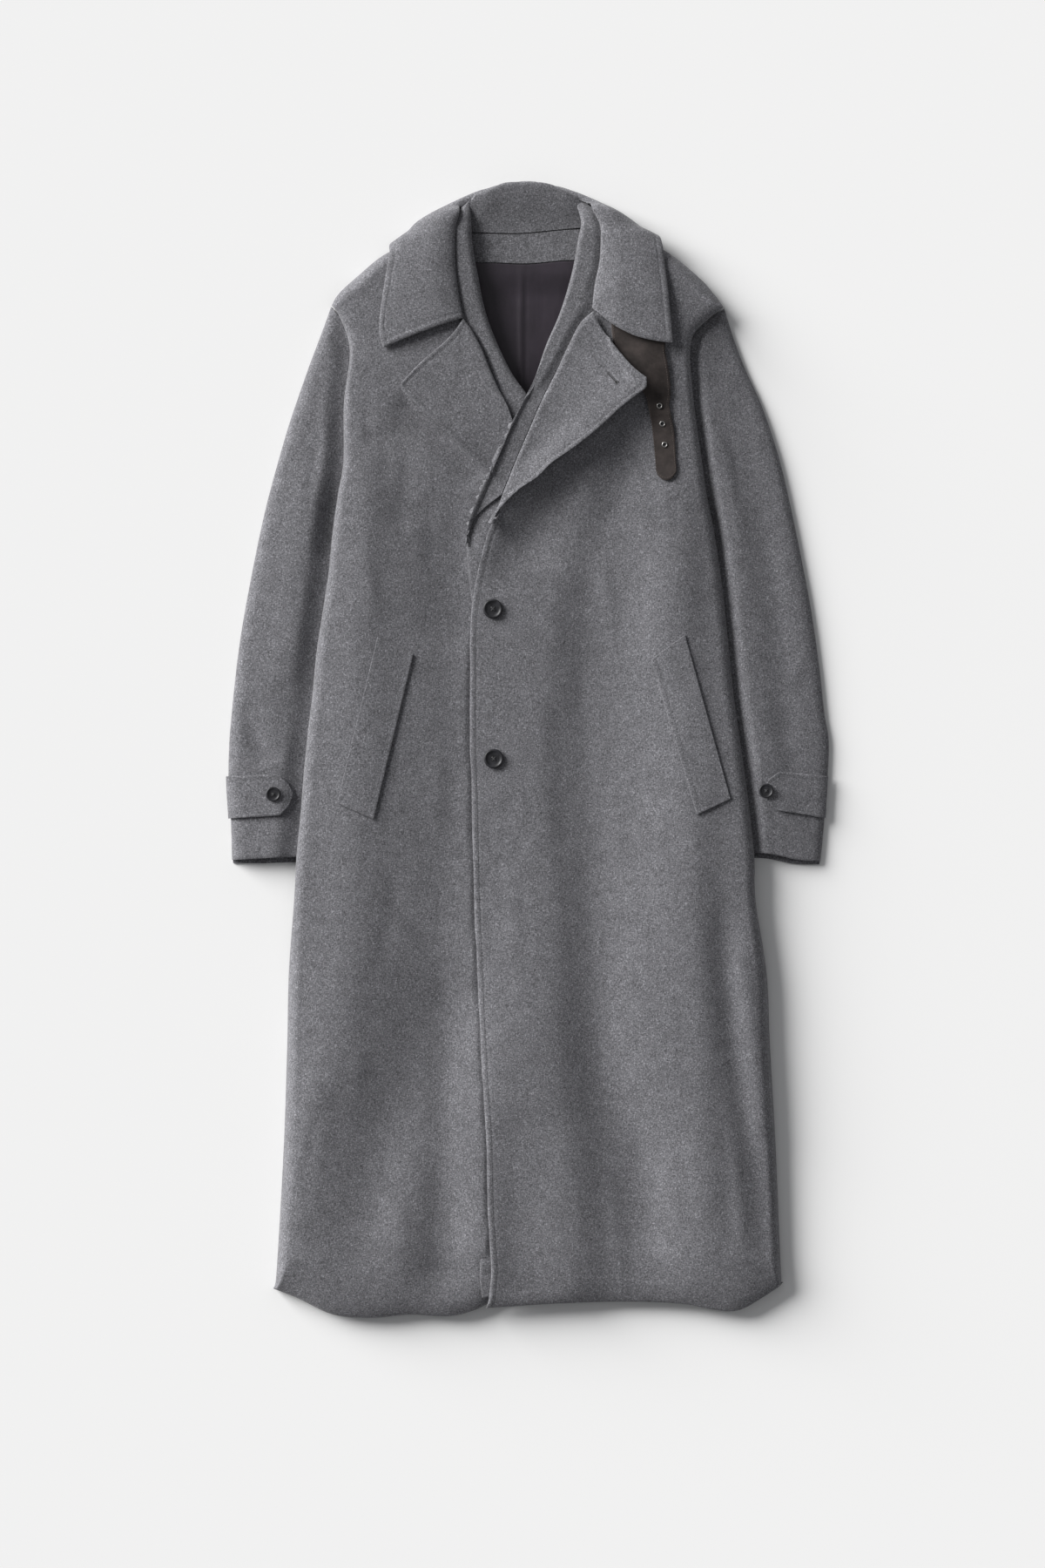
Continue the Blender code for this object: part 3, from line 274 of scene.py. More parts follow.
INNER_COLLAR = {
    "top": [
        (-64, 634), (-60, 639.5), (-52, 642.5), (-38, 648), (-25, 653), (-7, 654), (7, 654),
        (24, 652), (42, 645), (55, 638.5), (60, 634),
    ],
    "side": [(60, 634), (66, 602)],
    "inner": [(-64, 634), (-69, 597)],
    "bottom": [(-69, 597), (-21, 595.5), (0, 596), (21, 598), (42, 600), (66, 602)],
}
NECK_FACING = {
    "top": [(-66, 595), (-21, 594.4), (0, 595), (21, 597), (42, 599), (66, 600)],
    "side": [(66, 600), (72, 564)],
    "inner": [(-66, 595), (-72, 562)],
    "bottom": [(-72, 562), (-42, 562), (0, 560.5), (42, 564), (72, 564)],
}
LINING = {
    "top": [(-72, 561), (-42, 561), (0, 559.5), (42, 563), (72, 563)],
    "side": [(72, 563), (64, 480), (40, 390)],
    "inner": [(-72, 561), (-60, 480), (-40, 390)],
    "bottom": [(-40, 390), (40, 390)],
}

# Leather strap on the left front
CHEST_STRAP = {
    "top": [(96, 500), (130, 492), (160, 480)],
    "side": [
        (160, 480), (158.5, 462), (161, 446), (164, 427), (165, 408), (163.5, 398), (165, 387),
        (167, 379), (169, 368), (170, 355), (171, 335), (172, 321),
    ],
    "inner": [
        (96, 500), (100, 465), (118, 434), (135, 408), (139, 395), (141, 385.5), (143, 375),
        (144.6, 361), (146.6, 341), (148, 322),
    ],
    "bottom": [(148, 322), (150, 316.5), (155, 311.5), (161, 310), (166, 312), (170, 316.5), (172, 321)],
}
STRAP_FOLD = 385.5
EYELETS = [(152, 395.5), (155.4, 375), (158, 351)]
EYELET_OUT = 3.4
EYELET_IN = 1.8
# Outline of the ring: radius, height
EYELET = [
    (EYELET_IN, 0.0), (EYELET_OUT, 0.0), (EYELET_OUT + 0.05, 0.3), (EYELET_OUT - 0.35, 0.75),
    (0.5 * (EYELET_IN + EYELET_OUT), 0.95), (EYELET_IN + 0.25, 0.7), (EYELET_IN, 0.3),
]

WELT_RIGHT = [(-171.2, 130.5), (-129.7, 110.6), (-175.3, -78.5), (-217.6, -60)]
WELT_LEFT = [(181.3, 133), (142.4, 105), (194.6, -73.5), (233.6, -55)]
WELT = 1.8

# Cuff straps: lower and upper edge from the outer side to the tip
CUFF_STRAP_RIGHT = [(-77.6, -74.0, -62, -49.5), (-29, -27, -37, -49)]
CUFF_STRAP_LEFT = [(-76.6, -68.0, -58, -44.5), (-28.6, -23.5, -32, -44)]
CUFF_STRAP_REACH = 72.5

# Buttons: middle across and up, radius, what carries it
BUTTONS = [
    ("front_button_1", -39, 163, 11.35, "front_left"),
    ("front_button_2", -38, -9, 11.35, "front_left"),
    ("cuff_button_right", -291.3, -49.7, 8.5, "cuff_strap_right"),
    ("cuff_button_left", 274.8, -45.8, 8.5, "cuff_strap_left"),
]
# Turned outline of a button: shares of its radius and of its height
BUTTON = [
    (0.7, 0.0), (0.9, 0.1), (0.985, 0.32), (1.0, 0.55), (0.97, 0.82), (0.9, 0.98), (0.84, 1.0),
    (0.78, 0.95), (0.72, 0.8), (0.66, 0.68), (0.5, 0.62),
]
# Rings of one stitch: place along it, share of its radius, lift
STITCH = [(-0.5, 0.35, -0.25), (-0.25, 1.0, 0.15), (0.25, 1.0, 0.15), (0.5, 0.35, -0.25)]

# Cloth colours
GREY = (0.134, 0.133, 0.144)
AUBERGINE = (0.024, 0.018, 0.026)
BROWN = (0.034, 0.027, 0.025)
BLACK = (0.012, 0.012, 0.014)
STEEL = (0.42, 0.41, 0.40)
WHITE = (1.0, 1.0, 1.0)

# Sun: its height, turn and width in degrees and its power, then the strength of the sky
SUN_HEIGHT = 21.0
SUN_TURN = 33.0
SUN_WIDTH = 38.0
SUN_POWER = 6.95
SKY = 0.25

# Small creases: path, half width, height
CREASES = [
    ([(-160, 395), (-150, 330), (-158, 270)], 9, 1.2),
    ([(-185, 400), (-178, 340)], 7, -1.1),
    ([(-120, 300), (-108, 245), (-112, 190)], 10, -1.0),
    ([(-196, 240), (-180, 195), (-176, 140)], 8, 1.1),
    ([(-98, 40), (-104, -60), (-98, -130)], 9, 0.9),
    ([(-150, -120), (-158, -200), (-176, -262)], 10, -1.0),
    ([(-70, -330), (-80, -430), (-76, -520)], 12, 1.1),
    ([(-190, -330), (-200, -420)], 9, 1.0),
    ([(-236, -400), (-250, -470), (-254, -540)], 8, -1.2),
    ([(-150, -500), (-146, -590)], 10, 1.2),
    ([(72, 250), (92, 190), (96, 120)], 9, 1.0),
    ([(110, 360), (128, 300), (132, 230)], 10, 1.3),
    ([(168, 300), (176, 240)], 8, -1.0),
    ([(60, 110), (66, 20), (60, -60)], 10, -0.9),
    ([(100, -30), (108, -130), (122, -210)], 9, 1.1),
    ([(186, 30), (196, -60)], 9, -0.9),
    ([(-20, -120), (-12, -230), (0, -300)], 11, 1.0),
    ([(92, -470), (104, -560), (112, -630)], 8, 1.3),
    ([(168, -400), (182, -500), (190, -590)], 11, -1.3),
    ([(232, -420), (244, -520), (246, -600)], 8, 1.1),
    ([(20, -500), (30, -580), (28, -630)], 12, 0.9),
    ([(126, -607), (125, -620), (122.5, -633)], 3.0, -1.1),
]
SLEEVE_CREASES = [
    ([(-240, 440), (-256, 380), (-270, 330)], 8, 1.2),
    ([(-232, 380), (-246, 320), (-252, 260)], 7, -1.3),
    ([(-300, 240), (-292, 180)], 8, 1.0),
    ([(-318, 150), (-300, 110), (-276, 96)], 8, 1.3),
    ([(-322, 30), (-300, 0), (-280, -12)], 7, -1.0),
    ([(-268, 30), (-282, -30)], 6, 0.9),
    ([(246, 430), (262, 380), (272, 320)], 8, 1.1),
    ([(226, 380), (240, 330), (246, 270)], 7, -1.2),
    ([(290, 250), (300, 190), (302, 130)], 8, 1.1),
    ([(326, 120), (306, 84), (286, 72)], 8, 1.2),
    ([(332, 20), (312, -8), (290, -20)], 7, -1.0),
    ([(262, 10), (276, -30)], 6, 0.9),
]
LINING_PLEAT = [([(-6, 570), (-7, 480), (-6, 390)], 3.0, 1.2), ([(-1, 570), (-2, 390)], 2.0, -0.5)]


# Measures along rows and paths, all on arrays
def smooth(low, high, value):
    f = np.clip((np.asarray(value, float) - low) / (high - low), 0.0, 1.0)
    return f * f * (3.0 - 2.0 * f)


def column(rows, at, index):
    ordered = sorted(rows)
    return np.interp(at, [row[0] for row in ordered], [row[index] for row in ordered])


def ease(count, pull=0.7):
    t = np.arange(count + 1) / count
    return t - pull * np.sin(2.0 * np.pi * t) / (2.0 * np.pi)


def spline(points, per=8):
    p = np.asarray(points, float)
    p = np.vstack([p[:1], p, p[-1:]])
    t = (np.arange(per) / per)[:, None]
    out = []
    for a, b, c, d in zip(p, p[1:], p[2:], p[3:]):
        out.append(0.5 * (2 * b + (c - a) * t + (2 * a - 5 * b + 4 * c - d) * t ** 2
                          + (3 * b - a - 3 * c + d) * t ** 3))
    out.append(p[-1:])
    return np.vstack(out)


def lengths(line):
    return np.concatenate([[0.0], np.cumsum(np.linalg.norm(np.diff(line, axis=0), axis=1))])


def at_lengths(line, run, want):
    return np.stack([np.interp(want, run, line[:, k]) for k in range(line.shape[1])], -1)


def spread(points, fractions):
    line = spline(points) if len(points) > 2 else np.asarray(points, float)
    run = lengths(line)
    return at_lengths(line, run, np.asarray(fractions, float) * run[-1])


# Distance from a path, and how far along it the nearest spot lies
def off_path(x, y, path):
    path = spline(path, 4) if len(path) > 2 else np.asarray(path, float)
    run = lengths(path)
    best = np.full(x.shape, 1e9)
    along = np.zeros(x.shape)
    for i, (a, b) in enumerate(zip(path, path[1:])):
        span = run[i + 1] - run[i]
        d = (b - a) / span
        t = np.clip((x - a[0]) * d[0] + (y - a[1]) * d[1], 0.0, span)
        r = np.hypot(x - a[0] - t * d[0], y - a[1] - t * d[1])
        near = r < best
        best = np.where(near, r, best)
        along = np.where(near, (run[i] + t) / run[-1], along)
    return best, along


# One value, or several that change evenly along a path
def part_way(values, along):
    return np.interp(along, np.linspace(0, 1, np.size(values)), np.ravel(values))


# Long soft ridges and valleys, each flank with a width of its own
def folds(x, y, table):
    height = np.zeros(x.shape)
    for path, left, right, rise in table:
        d, along = off_path(x, y, path)
        start = np.minimum(1.0, 0.15 + smooth(0.0, 0.2, along))
        end = np.minimum(1.0, 0.25 + smooth(0.0, 0.15, 1.0 - along))
        side = smooth(-4.0, 4.0, x - path_x(path, y))
        width = part_way(left, along) * (1 - side) + part_way(right, along) * side
        height += part_way(rise, along) * start * end * np.exp(-((d / width) ** 2))
    return height


# Small creases that fade to nothing at both ends
def creases(x, y, table):
    height = np.zeros(x.shape)
    for path, width, rise in table:
        d, along = off_path(x, y, path)
        fade = smooth(0.0, 0.3, along) * smooth(0.0, 0.35, 1.0 - along)
        height += rise * fade * np.exp(-((d / width) ** 2))
    return height


def roll(distance, radius):
    f = np.clip(np.asarray(distance, float) / radius, 0.0, 1.0)
    return np.sqrt(1.0 - (1.0 - f) ** 2)


# A tight roll over the edge that runs on in a broad slope
def soft_roll(distance, tight, broad):
    return 0.68 * roll(distance, tight) + 0.32 * roll(distance, broad)


# A grid of points stretched between four edges
def coons(edges, across, down):
    ins = spread(edges["inner"], down)[:, None]
    outs = spread(edges["side"], down)[:, None]
    tops = spread(edges["top"], across)[None]
    lows = spread(edges["bottom"], across)[None]
    s = np.asarray(across)[None, :, None]
    t = np.asarray(down)[:, None, None]
    corner = (
        (1 - s) * (1 - t) * tops[:, :1] + s * (1 - t) * tops[:, -1:]
        + (1 - s) * t * lows[:, :1] + s * t * lows[:, -1:]
    )
    return (1 - t) * tops + t * lows + (1 - s) * ins + s * outs - corner


def along_rows(plan):
    step = np.linalg.norm(np.diff(plan, axis=1), axis=2)
    return np.concatenate([np.zeros((len(plan), 1)), np.cumsum(step, axis=1)], axis=1)


def along_columns(plan):
    return along_rows(plan.transpose(1, 0, 2)).T


# Distance of each point from the named edges of its grid
def from_edges(plan, sides):
    across = along_rows(plan)
    down = along_columns(plan)
    gaps = {
        "inner": across,
        "side": across[:, -1:] - across,
        "top": down,
        "bottom": down[-1:] - down,
    }
    return np.min([gaps[side] for side in sides.split()], axis=0)


# Cloth turned and topstitched along an edge: a plump edge and a groove at the stitches
def stitched_edge(distance, inset=EDGE_SEWN, groove=0.55, edge=0.7):
    return (
        -groove * np.exp(-(((distance - inset) / 1.5) ** 2))
        - edge * (1.0 - roll(distance, 2.6))
        - 0.25 * smooth(inset, inset + 4.0, distance)
    )


# Heights shared by the layers
def front_height(x, y):
    base = FRONT_TOP - 3.0 * smooth(430, 600, y) + 1.5 * smooth(250, -100, y)
    return base + folds(x, y, FOLDS) * smooth(560, 430, y) + creases(x, y, CREASES)


# Side of the body, from the shoulder tip down the armhole to the hem
def side_path(sign):
    arm = ARM_RIGHT if sign < 0 else ARM_LEFT
    index = 1 if sign < 0 else 2
    return arm + [(row[index], row[0]) for row in SIDES]


def path_x(path, y):
    return column([(p[1], p[0]) for p in path], y, 1)


def sleeve_inner(x, y):
    right = np.abs(path_x(SLEEVE_IN_RIGHT, y))
    left = np.abs(path_x(SLEEVE_IN_LEFT, y))
    return np.where(np.asarray(x) < 0, right, left)


# Underside of the back: raised over the sleeves and behind the shoulders
def back_under(x, y):
    inner = sleeve_inner(x, y)
    over = smooth(0.0, 20.0, np.abs(x) - inner + 27.0)
    along = smooth(322, 282, y) * smooth(-300, -140, y)
    neck = smooth(520, 552, y) * smooth(190, 150, np.abs(x))
    return SLEEVE_LIFT * over * along + 5.0 * neck


# Where the front comes down to the back at its side and at its shoulder
def side_end(y, sign):
    x = path_x(side_path(sign), y)
    low = np.max([back_under(x, y + step) for step in (-14, 0, 14)], axis=0) + WOOL + SEAM
    return np.where(y > 262, np.maximum(low, column(ARMHOLE, y, 1)), low)


def shoulder_end(x, y):
    tip = smooth(196, 216, np.abs(x))
    return (back_under(x, y) + WOOL + SEAM) * (1 - tip) + SHOULDER_TIP * tip


# The left front lies over the right one, which swells up to the closing edge
def lap_lift(x, y):
    edge = path_x(ROLL_LEFT + FRONT_EDGE, y)
    return column(LAP, y, 1) * (1.0 - smooth(88, 140, x - edge))


def bank(x, y):
    d = x - path_x(ROLL_LEFT + FRONT_EDGE, y)
    along = smooth(150, 100, y) * smooth(-610, -560, y)
    return BANK[0] * smooth(-BANK[1], -3.0, d) * smooth(2.0, -0.8, d) * along


def metres(points):
    return (np.asarray(points, float) - MIDDLE) * MM


# Surfaces and grids of the finished shells, by piece
TREES = {}
GRIDS = {}


def mesh_piece(name, points, faces, mat):
    mesh = bpy.data.meshes.new(name)
    mesh.from_pydata(metres(points).tolist(), [], faces)
    mesh.materials.append(mat)
    mesh.polygons.foreach_set("use_smooth", [True] * len(mesh.polygons))
    mesh.update()
    obj = bpy.data.objects.new(name, mesh)
    bpy.context.scene.collection.objects.link(obj)
    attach(obj, "root")
    return obj


# The grid is the outside of the cloth and its wall lies behind it
def shell(name, grid, wall, mat, up, soft=0.8, slot="wool"):
    n, m = grid.shape[:2]
    index = np.arange(n * m).reshape(n, m)
    quads = np.stack([index[:-1, :-1], index[:-1, 1:], index[1:, 1:], index[1:, :-1]], -1)
    quads = quads.reshape(-1, 4)
    faces = (quads if up else quads[:, ::-1]).tolist()
    points = grid.reshape(-1, 3)
    obj = mesh_piece(name + "_cloth", points, faces, mat)
    thick = obj.modifiers.new("wall", "SOLIDIFY")
    thick.thickness = wall * MM
    thick.offset = -1.0
    round_off = obj.modifiers.new("edge", "BEVEL")
    round_off.width = soft * MM
    round_off.segments = 2
    round_off.limit_method = "ANGLE"
    round_off.angle_limit = math.radians(72)
    TREES[name] = BVHTree.FromPolygons([Vector(p) for p in points], faces)
    GRIDS[name] = grid
    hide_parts(name)
    if slot != "leather":
        declare_sheet(grid)


# Length of the grid's longest column, worked out and not kept
def declare_sheet(grid):
    long = along_columns(grid)[-1].max() * MM


# Spots tried round a point, as shares of the reach
AROUND = [(0, 0), (1, 0), (-1, 0), (0, 1), (0, -1), (0.7, 0.7), (-0.7, 0.7), (0.7, -0.7), (-0.7, -0.7)]


# Height of the outside of the pieces under a point, the highest within reach
def drape_point(names, x, y, reach):
    best = None
    for name in names.split():
        for dx, dy in AROUND:
            start = Vector((x + dx * reach, y + dy * reach, ABOVE))
            hit = TREES[name].ray_cast(start, Vector((0, 0, -1)))
            if hit[0] is not None:
                best = hit[0].z if best is None else max(best, hit[0].z)
    return np.nan if best is None else best


def drape(names, plan, reach=5.0):
    flat = plan.reshape(-1, plan.shape[-1])
    high = np.array([drape_point(names, p[0], p[1], reach) for p in flat])
    return high.reshape(plan.shape[:2])


def with_height(plan, high):
    return np.concatenate([plan, np.asarray(high)[..., None]], axis=2)


# Front panels, from the neck and closing edge to the side seam
def front_panel(name, sign, inner, mat):
    edges = {
        "inner": inner,
        "top": SHOULDER_RIGHT if sign < 0 else SHOULDER_LEFT,
        "bottom": HEM_RIGHT if sign < 0 else HEM_LEFT,
    }
    edges["side"] = side_path(sign) + [edges["bottom"][-1]]
    across = ease(92)
    down = ease(300, 0.5)
    plan = coons(edges, across, down)
    x, y = plan[..., 0], plan[..., 1]
    raised = lap_lift(x, y) if sign > 0 else 0.0
    high = front_height(x, y) + raised
    if sign < 0:
        high = high + bank(x, y)
    width = along_rows(plan)[:, -1:]
    length = along_columns(plan)[-1, len(across) // 2]
    side = side_end(y[:, -1:], sign)
    top = shoulder_end(x, y)
    reach = down[:, None] * length
    hem = 0.4 * roll(length - reach, HEM_ROLL) + 0.6 * smooth(-30.0, 70.0, length - reach)
    hem = hem * smooth(0.0, 1.0, (length - reach) / 3.0 + 0.5)
    drop = np.max([
        (high - side) * (1 - soft_roll((1 - across) * width, SIDE_ROLL, SIDE_SLOPE)),
        (high - top) * (1 - roll(reach, TOP_ROLL)),
        (high - HEM_LIFT - raised) * (1 - hem),
    ], axis=0)
    high = high - drop
    if sign > 0:
        rim = from_edges(plan, "inner")
        edge = stitched_edge(rim, FRONT_SEWN) - 1.5 * (1 - roll(rim, 5.0)) * smooth(150, 100, y)
        high = high + edge * smooth(275, 255, y)
    shell(name, with_height(plan, high), WOOL, mat, sign < 0)


def fronts(mat):
    inner = [(p[0] - 6.5, p[1] - 2.0) for p in ROLL_RIGHT]
    inner[0] = SHOULDER_RIGHT[0]
    front_panel("front_right", -1, inner + UNDER_EDGE, mat)
    roll_line = [(x + 7.5 * float(smooth(290, 390, y)), y) for x, y in ROLL_LEFT]
    roll_line[0] = SHOULDER_LEFT[0]
    front_panel("front_left", 1, roll_line + FRONT_EDGE, mat)


# Back panel: flat where it rests, raised over the sleeves and the collar fall
def back(mat):
    caps = []
    for cap, sign in ((SLEEVE_CAP_RIGHT, 1), (SLEEVE_CAP_LEFT, -1)):
        caps.append([(p[0] + (3.0 if p[1] < 440 else 5.0) * sign, p[1] - 1.0) for p in cap[:-1]])
    low = [row for row in SIDES if row[0] < 240]
    right = caps[0] + [(-197, 264)] + [(row[1] + 0.8, row[0]) for row in low] + [HEM_BACK[0]]
    left = caps[1] + [(190, 264)] + [(row[2] - 0.8, row[0]) for row in low] + [HEM_BACK[-1]]
    over = [(x, y - 1.0) for x, y in SHOULDER_RIGHT[-2:0:-1] + NECK + SHOULDER_LEFT[1:-1]]
    top = [right[0]] + over + [left[0]]
    plan = coons({"top": top, "side": left, "bottom": HEM_BACK, "inner": right}, ease(100), ease(150))
    high = back_under(plan[..., 0], plan[..., 1])
    shell("back", with_height(plan, high), WOOL, mat, True)


# Sleeves: the top sleeve rolls over both edges of the flat under sleeve
def sleeve_rings(sign, across, down):
    outer, inner, cap, cuff = (
        (SLEEVE_OUT_RIGHT, SLEEVE_IN_RIGHT, SLEEVE_CAP_RIGHT, SLEEVE_CUFF_RIGHT) if sign < 0
        else (SLEEVE_OUT_LEFT, SLEEVE_IN_LEFT, SLEEVE_CAP_LEFT, SLEEVE_CUFF_LEFT)
    )
    s = np.asarray(across)[None, :, None]
    t = np.asarray(down)[:, None, None]
    outs = spread(outer, down)[:, None]
    ins = spread(inner, np.asarray(down) ** 1.35)[:, None]
    caps = spread(cap, across)[None]
    cuffs = spread(cuff, across)[None]
    first = np.clip(1 - t / 0.3, 0, 1) ** 2
    last = np.clip((t - 0.8) / 0.2, 0, 1) ** 2
    bow = caps - (1 - s) * np.array(cap[0], float) - s * np.array(cap[-1], float)
    hem = cuffs - (1 - s) * np.array(cuff[0], float) - s * np.array(cuff[-1], float)
    return (1 - s) * outs + s * ins + first * bow + last * hem


def sleeve(side, sign, mat):
    plan = sleeve_rings(sign, ease(60), ease(200, 0.3))
    x, y = plan[..., 0], plan[..., 1]
    edge = WOOL + SEAM
    free = smooth(2.0, 26.0 if sign < 0 else 16.0, np.abs(x) - np.abs(path_x(side_path(sign), y)))
    high = SLEEVE_COVERED + (6.5 if sign < 0 else 8.5) * free + folds(x, y, SLEEVE_FOLDS) * free
    high = high + creases(x, y, SLEEVE_CREASES) * free + 1.2 * smooth(440, 500, y)
    high = high - 3.2 * smooth(205, 240, y) * (1 - free) * smooth(320, 280, y)
    across = along_rows(plan)
    slope = np.clip(across / (84.0 if sign > 0 else 70.0), 0, 1) ** 0.9
    tight, share = (12.0, 0.3) if sign > 0 else (15.0, 0.6)
    outer = share * roll(across, tight) + (1 - share) * slope
    q = np.minimum(outer, roll(across[:, -1:] - across, 9.0))
    high = edge + (high - edge) * q + stitched_edge(from_edges(plan, "bottom"), 60.0, 0.0, 0.6)
    shell("sleeve_top_" + side, with_height(plan, high), WOOL, mat, sign > 0)
    across = np.linspace(0.008, 0.992, 25)
    down = ease(80, 0.3)
    plan = sleeve_rings(sign, across, down)
    drop = np.interp(across, (0.008, 0.25, 0.5, 0.75, 0.992), (0.6, 1.0, 1.0, 0.8, 0.3))
    plan[..., 1] -= 6.0 * smooth(0.596, 0.936, down)[:, None] * drop
    flat = np.zeros(plan.shape[:2])
    shell("sleeve_under_" + side, with_height(plan, flat), WOOL, mat, sign < 0)


# Lapels lie on the fronts, rolled at the inner edge and lifted at the outer one
def lapel(name, edges, base, stand, mat):
    across = ease(48)
    down = ease(60)
    plan = coons(edges, across, down)
    x, y = plan[..., 0], plan[..., 1]
    on = drape(base, plan)
    lift = 0.0 if name == "lapel_right" else lap_lift(x, y)
    on = np.where(np.isnan(on), front_height(x, y) + lift, on)
    fade = smooth(1.0, 0.6, down)[:, None]
    high = on + GAP + LAPEL + fade * (stand[0] * (1 - across) ** 2 + stand[1] * across * across)
    over = smooth(392, 414, y) if name == "lapel_right" else 1.0
    width = along_rows(plan)[:, -1:]
    high = high - 2.6 * over * (1 - roll(across * width, 7.0))
    high = high + stitched_edge(from_edges(plan, "top side"))
    shell(name, with_height(plan, high), LAPEL, mat, name == "lapel_right", 1.1)


# Inner layer along the neck opening, a soft roll that drops to its inner edge
def inner_band(name, edges, sign, mat):
    across = ease(26)
    plan = coons(edges, across, ease(110, 0.3))
    y = plan[..., 1]
    width = along_rows(plan)[:, -1:]
    high = column(INNER_TOP, y, 1 if sign < 0 else 2)
    drop = column(INNER_TOP, y, 3 if sign < 0 else 4)
    if sign > 0:
        hang = front_height(plan[..., 0], y) + column(LAP, y, 1) - WOOL - 0.4
        low = smooth(440, 400, y)
        high = high * (1 - low) + hang * low
    high = high - drop * (1 - roll(across * width + 0.8, 9.8))
    high = high - 2.8 * smooth(0.62, 1.0, across) * smooth(395, 440, y)
    if sign > 0:
        rest = drape("lapel_right front_right", plan, 0.8) + GAP + BAND
        high = np.fmax(high, np.where(y < 410, rest, np.nan))
    shell(name, with_height(plan, high), BAND, mat, sign < 0, 1.1)


# Inner layer behind the front edge, down to the hem
def inner_strip(mat):
    plan = coons(INNER_STRIP, ease(14), ease(220, 0.6))
    x, y = plan[..., 0], plan[..., 1]
    on = drape("front_right", plan, 2.0)
    low = np.where(np.isnan(on), front_height(x, y), on) + GAP + THIN
    under = plan.copy()
    under[..., 0] = np.maximum(x, path_x(FRONT_EDGE, y) + 3.0)
    hang = smooth(-590, -610, y)
    cover = np.where(hang > 0, drape("front_left", under, 1.0), 0.0)
    hidden = smooth(150, 120, y) * smooth(-604, -580, y)
    low = low * (1 - hidden) + (front_height(x, y) + THIN - 0.4) * hidden
    high = low * (1 - hang) + (cover - WOOL - 1.0) * hang
    high = high - 0.5 * (1 - roll(from_edges(plan, "inner"), 2.0))
    shell("inner_front_left", with_height(plan, high), THIN, mat, False, 0.6)


# Outer collar: leaf, crown, bend and fall in one piece round the neck
def collar(mat):
    columns = [spline([row[k] for row in COLLAR], 14) for k in range(5)]
    grid = np.stack([spread(section, ease(44, 0.5)) for section in zip(*columns)])
    ends = from_edges(grid, "top bottom side")
    leaf = smooth(60.0, 84.0, np.abs(grid[..., 0]))
    grid[..., 2] += stitched_edge(ends) * leaf
    grid[..., 2] -= 2.6 * (1 - roll(from_edges(grid, "inner"), 9.0)) * leaf
    shell("collar", grid, LAPEL - 0.6, mat, True, 1.1)


# Stand of the collar, whose inside face shows behind the neck
def inner_collar(mat):
    across = ease(90, 0.2)
    down = ease(30)
    plan = coons(INNER_COLLAR, across, down)
    rise = smooth(0.0, 1.0, 1 - down)[:, None] * smooth(90, 42, np.abs(plan[..., 0]))
    high = 10.5 + 7.9 * rise + (1 - down)[:, None]
    high = high - 3.0 * (1 - roll(from_edges(plan, "top"), 5.0))
    shell("inner_collar", with_height(plan, high), WOOL, mat, False, 1.0)


# Pieces that lie on the back inside the neck opening
def on_back(name, edges, wall, mat, slot, steps):
    plan = coons(edges, ease(steps[0], 0.3), ease(steps[1], 0.3))
    high = back_under(plan[..., 0], plan[..., 1]) + WOOL + SEAM + wall
    if name == "lining":
        high = high + creases(plan[..., 0], plan[..., 1], LINING_PLEAT)
    shell(name, with_height(plan, high), wall, mat, False, 0.4, slot)


# Leather strap sewn under the left collar, with a fold across it
def chest_strap(mat):
    plan = coons(CHEST_STRAP, ease(24), ease(90, 0.3))
    y = plan[..., 1]
    high = drape("front_left", plan) + GAP + LEATHER
    high = high + 1.2 * smooth(STRAP_FOLD - 3, STRAP_FOLD + 1, y)
    high = high - 0.5 * (1 - roll(from_edges(plan, "inner side bottom"), 1.4))
    shell("chest_strap", with_height(plan, high), LEATHER, mat, False, 0.5, "leather")


# Slanted pocket welt, topstitched along its free edge
def welt(name, corners, base, mat):
    a, b, c, d = corners
    edges = {"top": [a, b], "side": [b, c], "bottom": [d, c], "inner": [a, d]}
    plan = coons(edges, ease(20), ease(70, 0.4))
    high = drape(base, plan, 5.0) + GAP + WELT
    high = high + stitched_edge(from_edges(plan, "side"), EDGE_SEWN, 0.45, 0.5)
    shell(name, with_height(plan, high), WELT, mat, a[0] > 0, 0.7)


# Cuff strap: the sleeve's own surface moved out, from the outer side to the tip
def cuff_strap(name, base, sign, edge_rows, mat):
    outer = SLEEVE_OUT_RIGHT if sign < 0 else SLEEVE_OUT_LEFT
    knots = (0, 0.78, 0.93, 1.0)
    rows = []
    for f in ease(60, 0.6):
        out = []
        for k in ease(22, 0.6):
            y = np.interp(f, knots, edge_rows[0]) * (1 - k) + np.interp(f, knots, edge_rows[1]) * k
            rim = float(path_x(outer, y))
            reach = f * CUFF_STRAP_REACH
            if reach < 14.0:
                turn = math.radians(-9.0 + 99.0 * reach / 14.0)
                start = Vector((rim - sign * 15.0, y, 8.0))
                ray = Vector((sign * math.cos(turn), 0, math.sin(turn)))
            else:
                start = Vector((rim - sign * (reach + 1.0), y, 8.0))
                ray = Vector((0, 0, 1))
            hit = TREES[base].ray_cast(start, ray)
            normal = hit[1] if hit[1].dot(ray) > 0 else -hit[1]
            out.append(tuple(hit[0] + normal * (3 * GAP + LEATHER)))
        rows.append(out)
    grid = np.array(rows)
    grid[..., 2] += stitched_edge(from_edges(grid, "inner side bottom"), CUFF_SEWN, 0.45, 0.5)
    shell(name, grid, LEATHER, mat, sign > 0)


def new_material(name):
    mat = bpy.data.materials.new(name)
    mat.use_nodes = True
    return mat, mat.node_tree, mat.node_tree.nodes["Principled BSDF"]


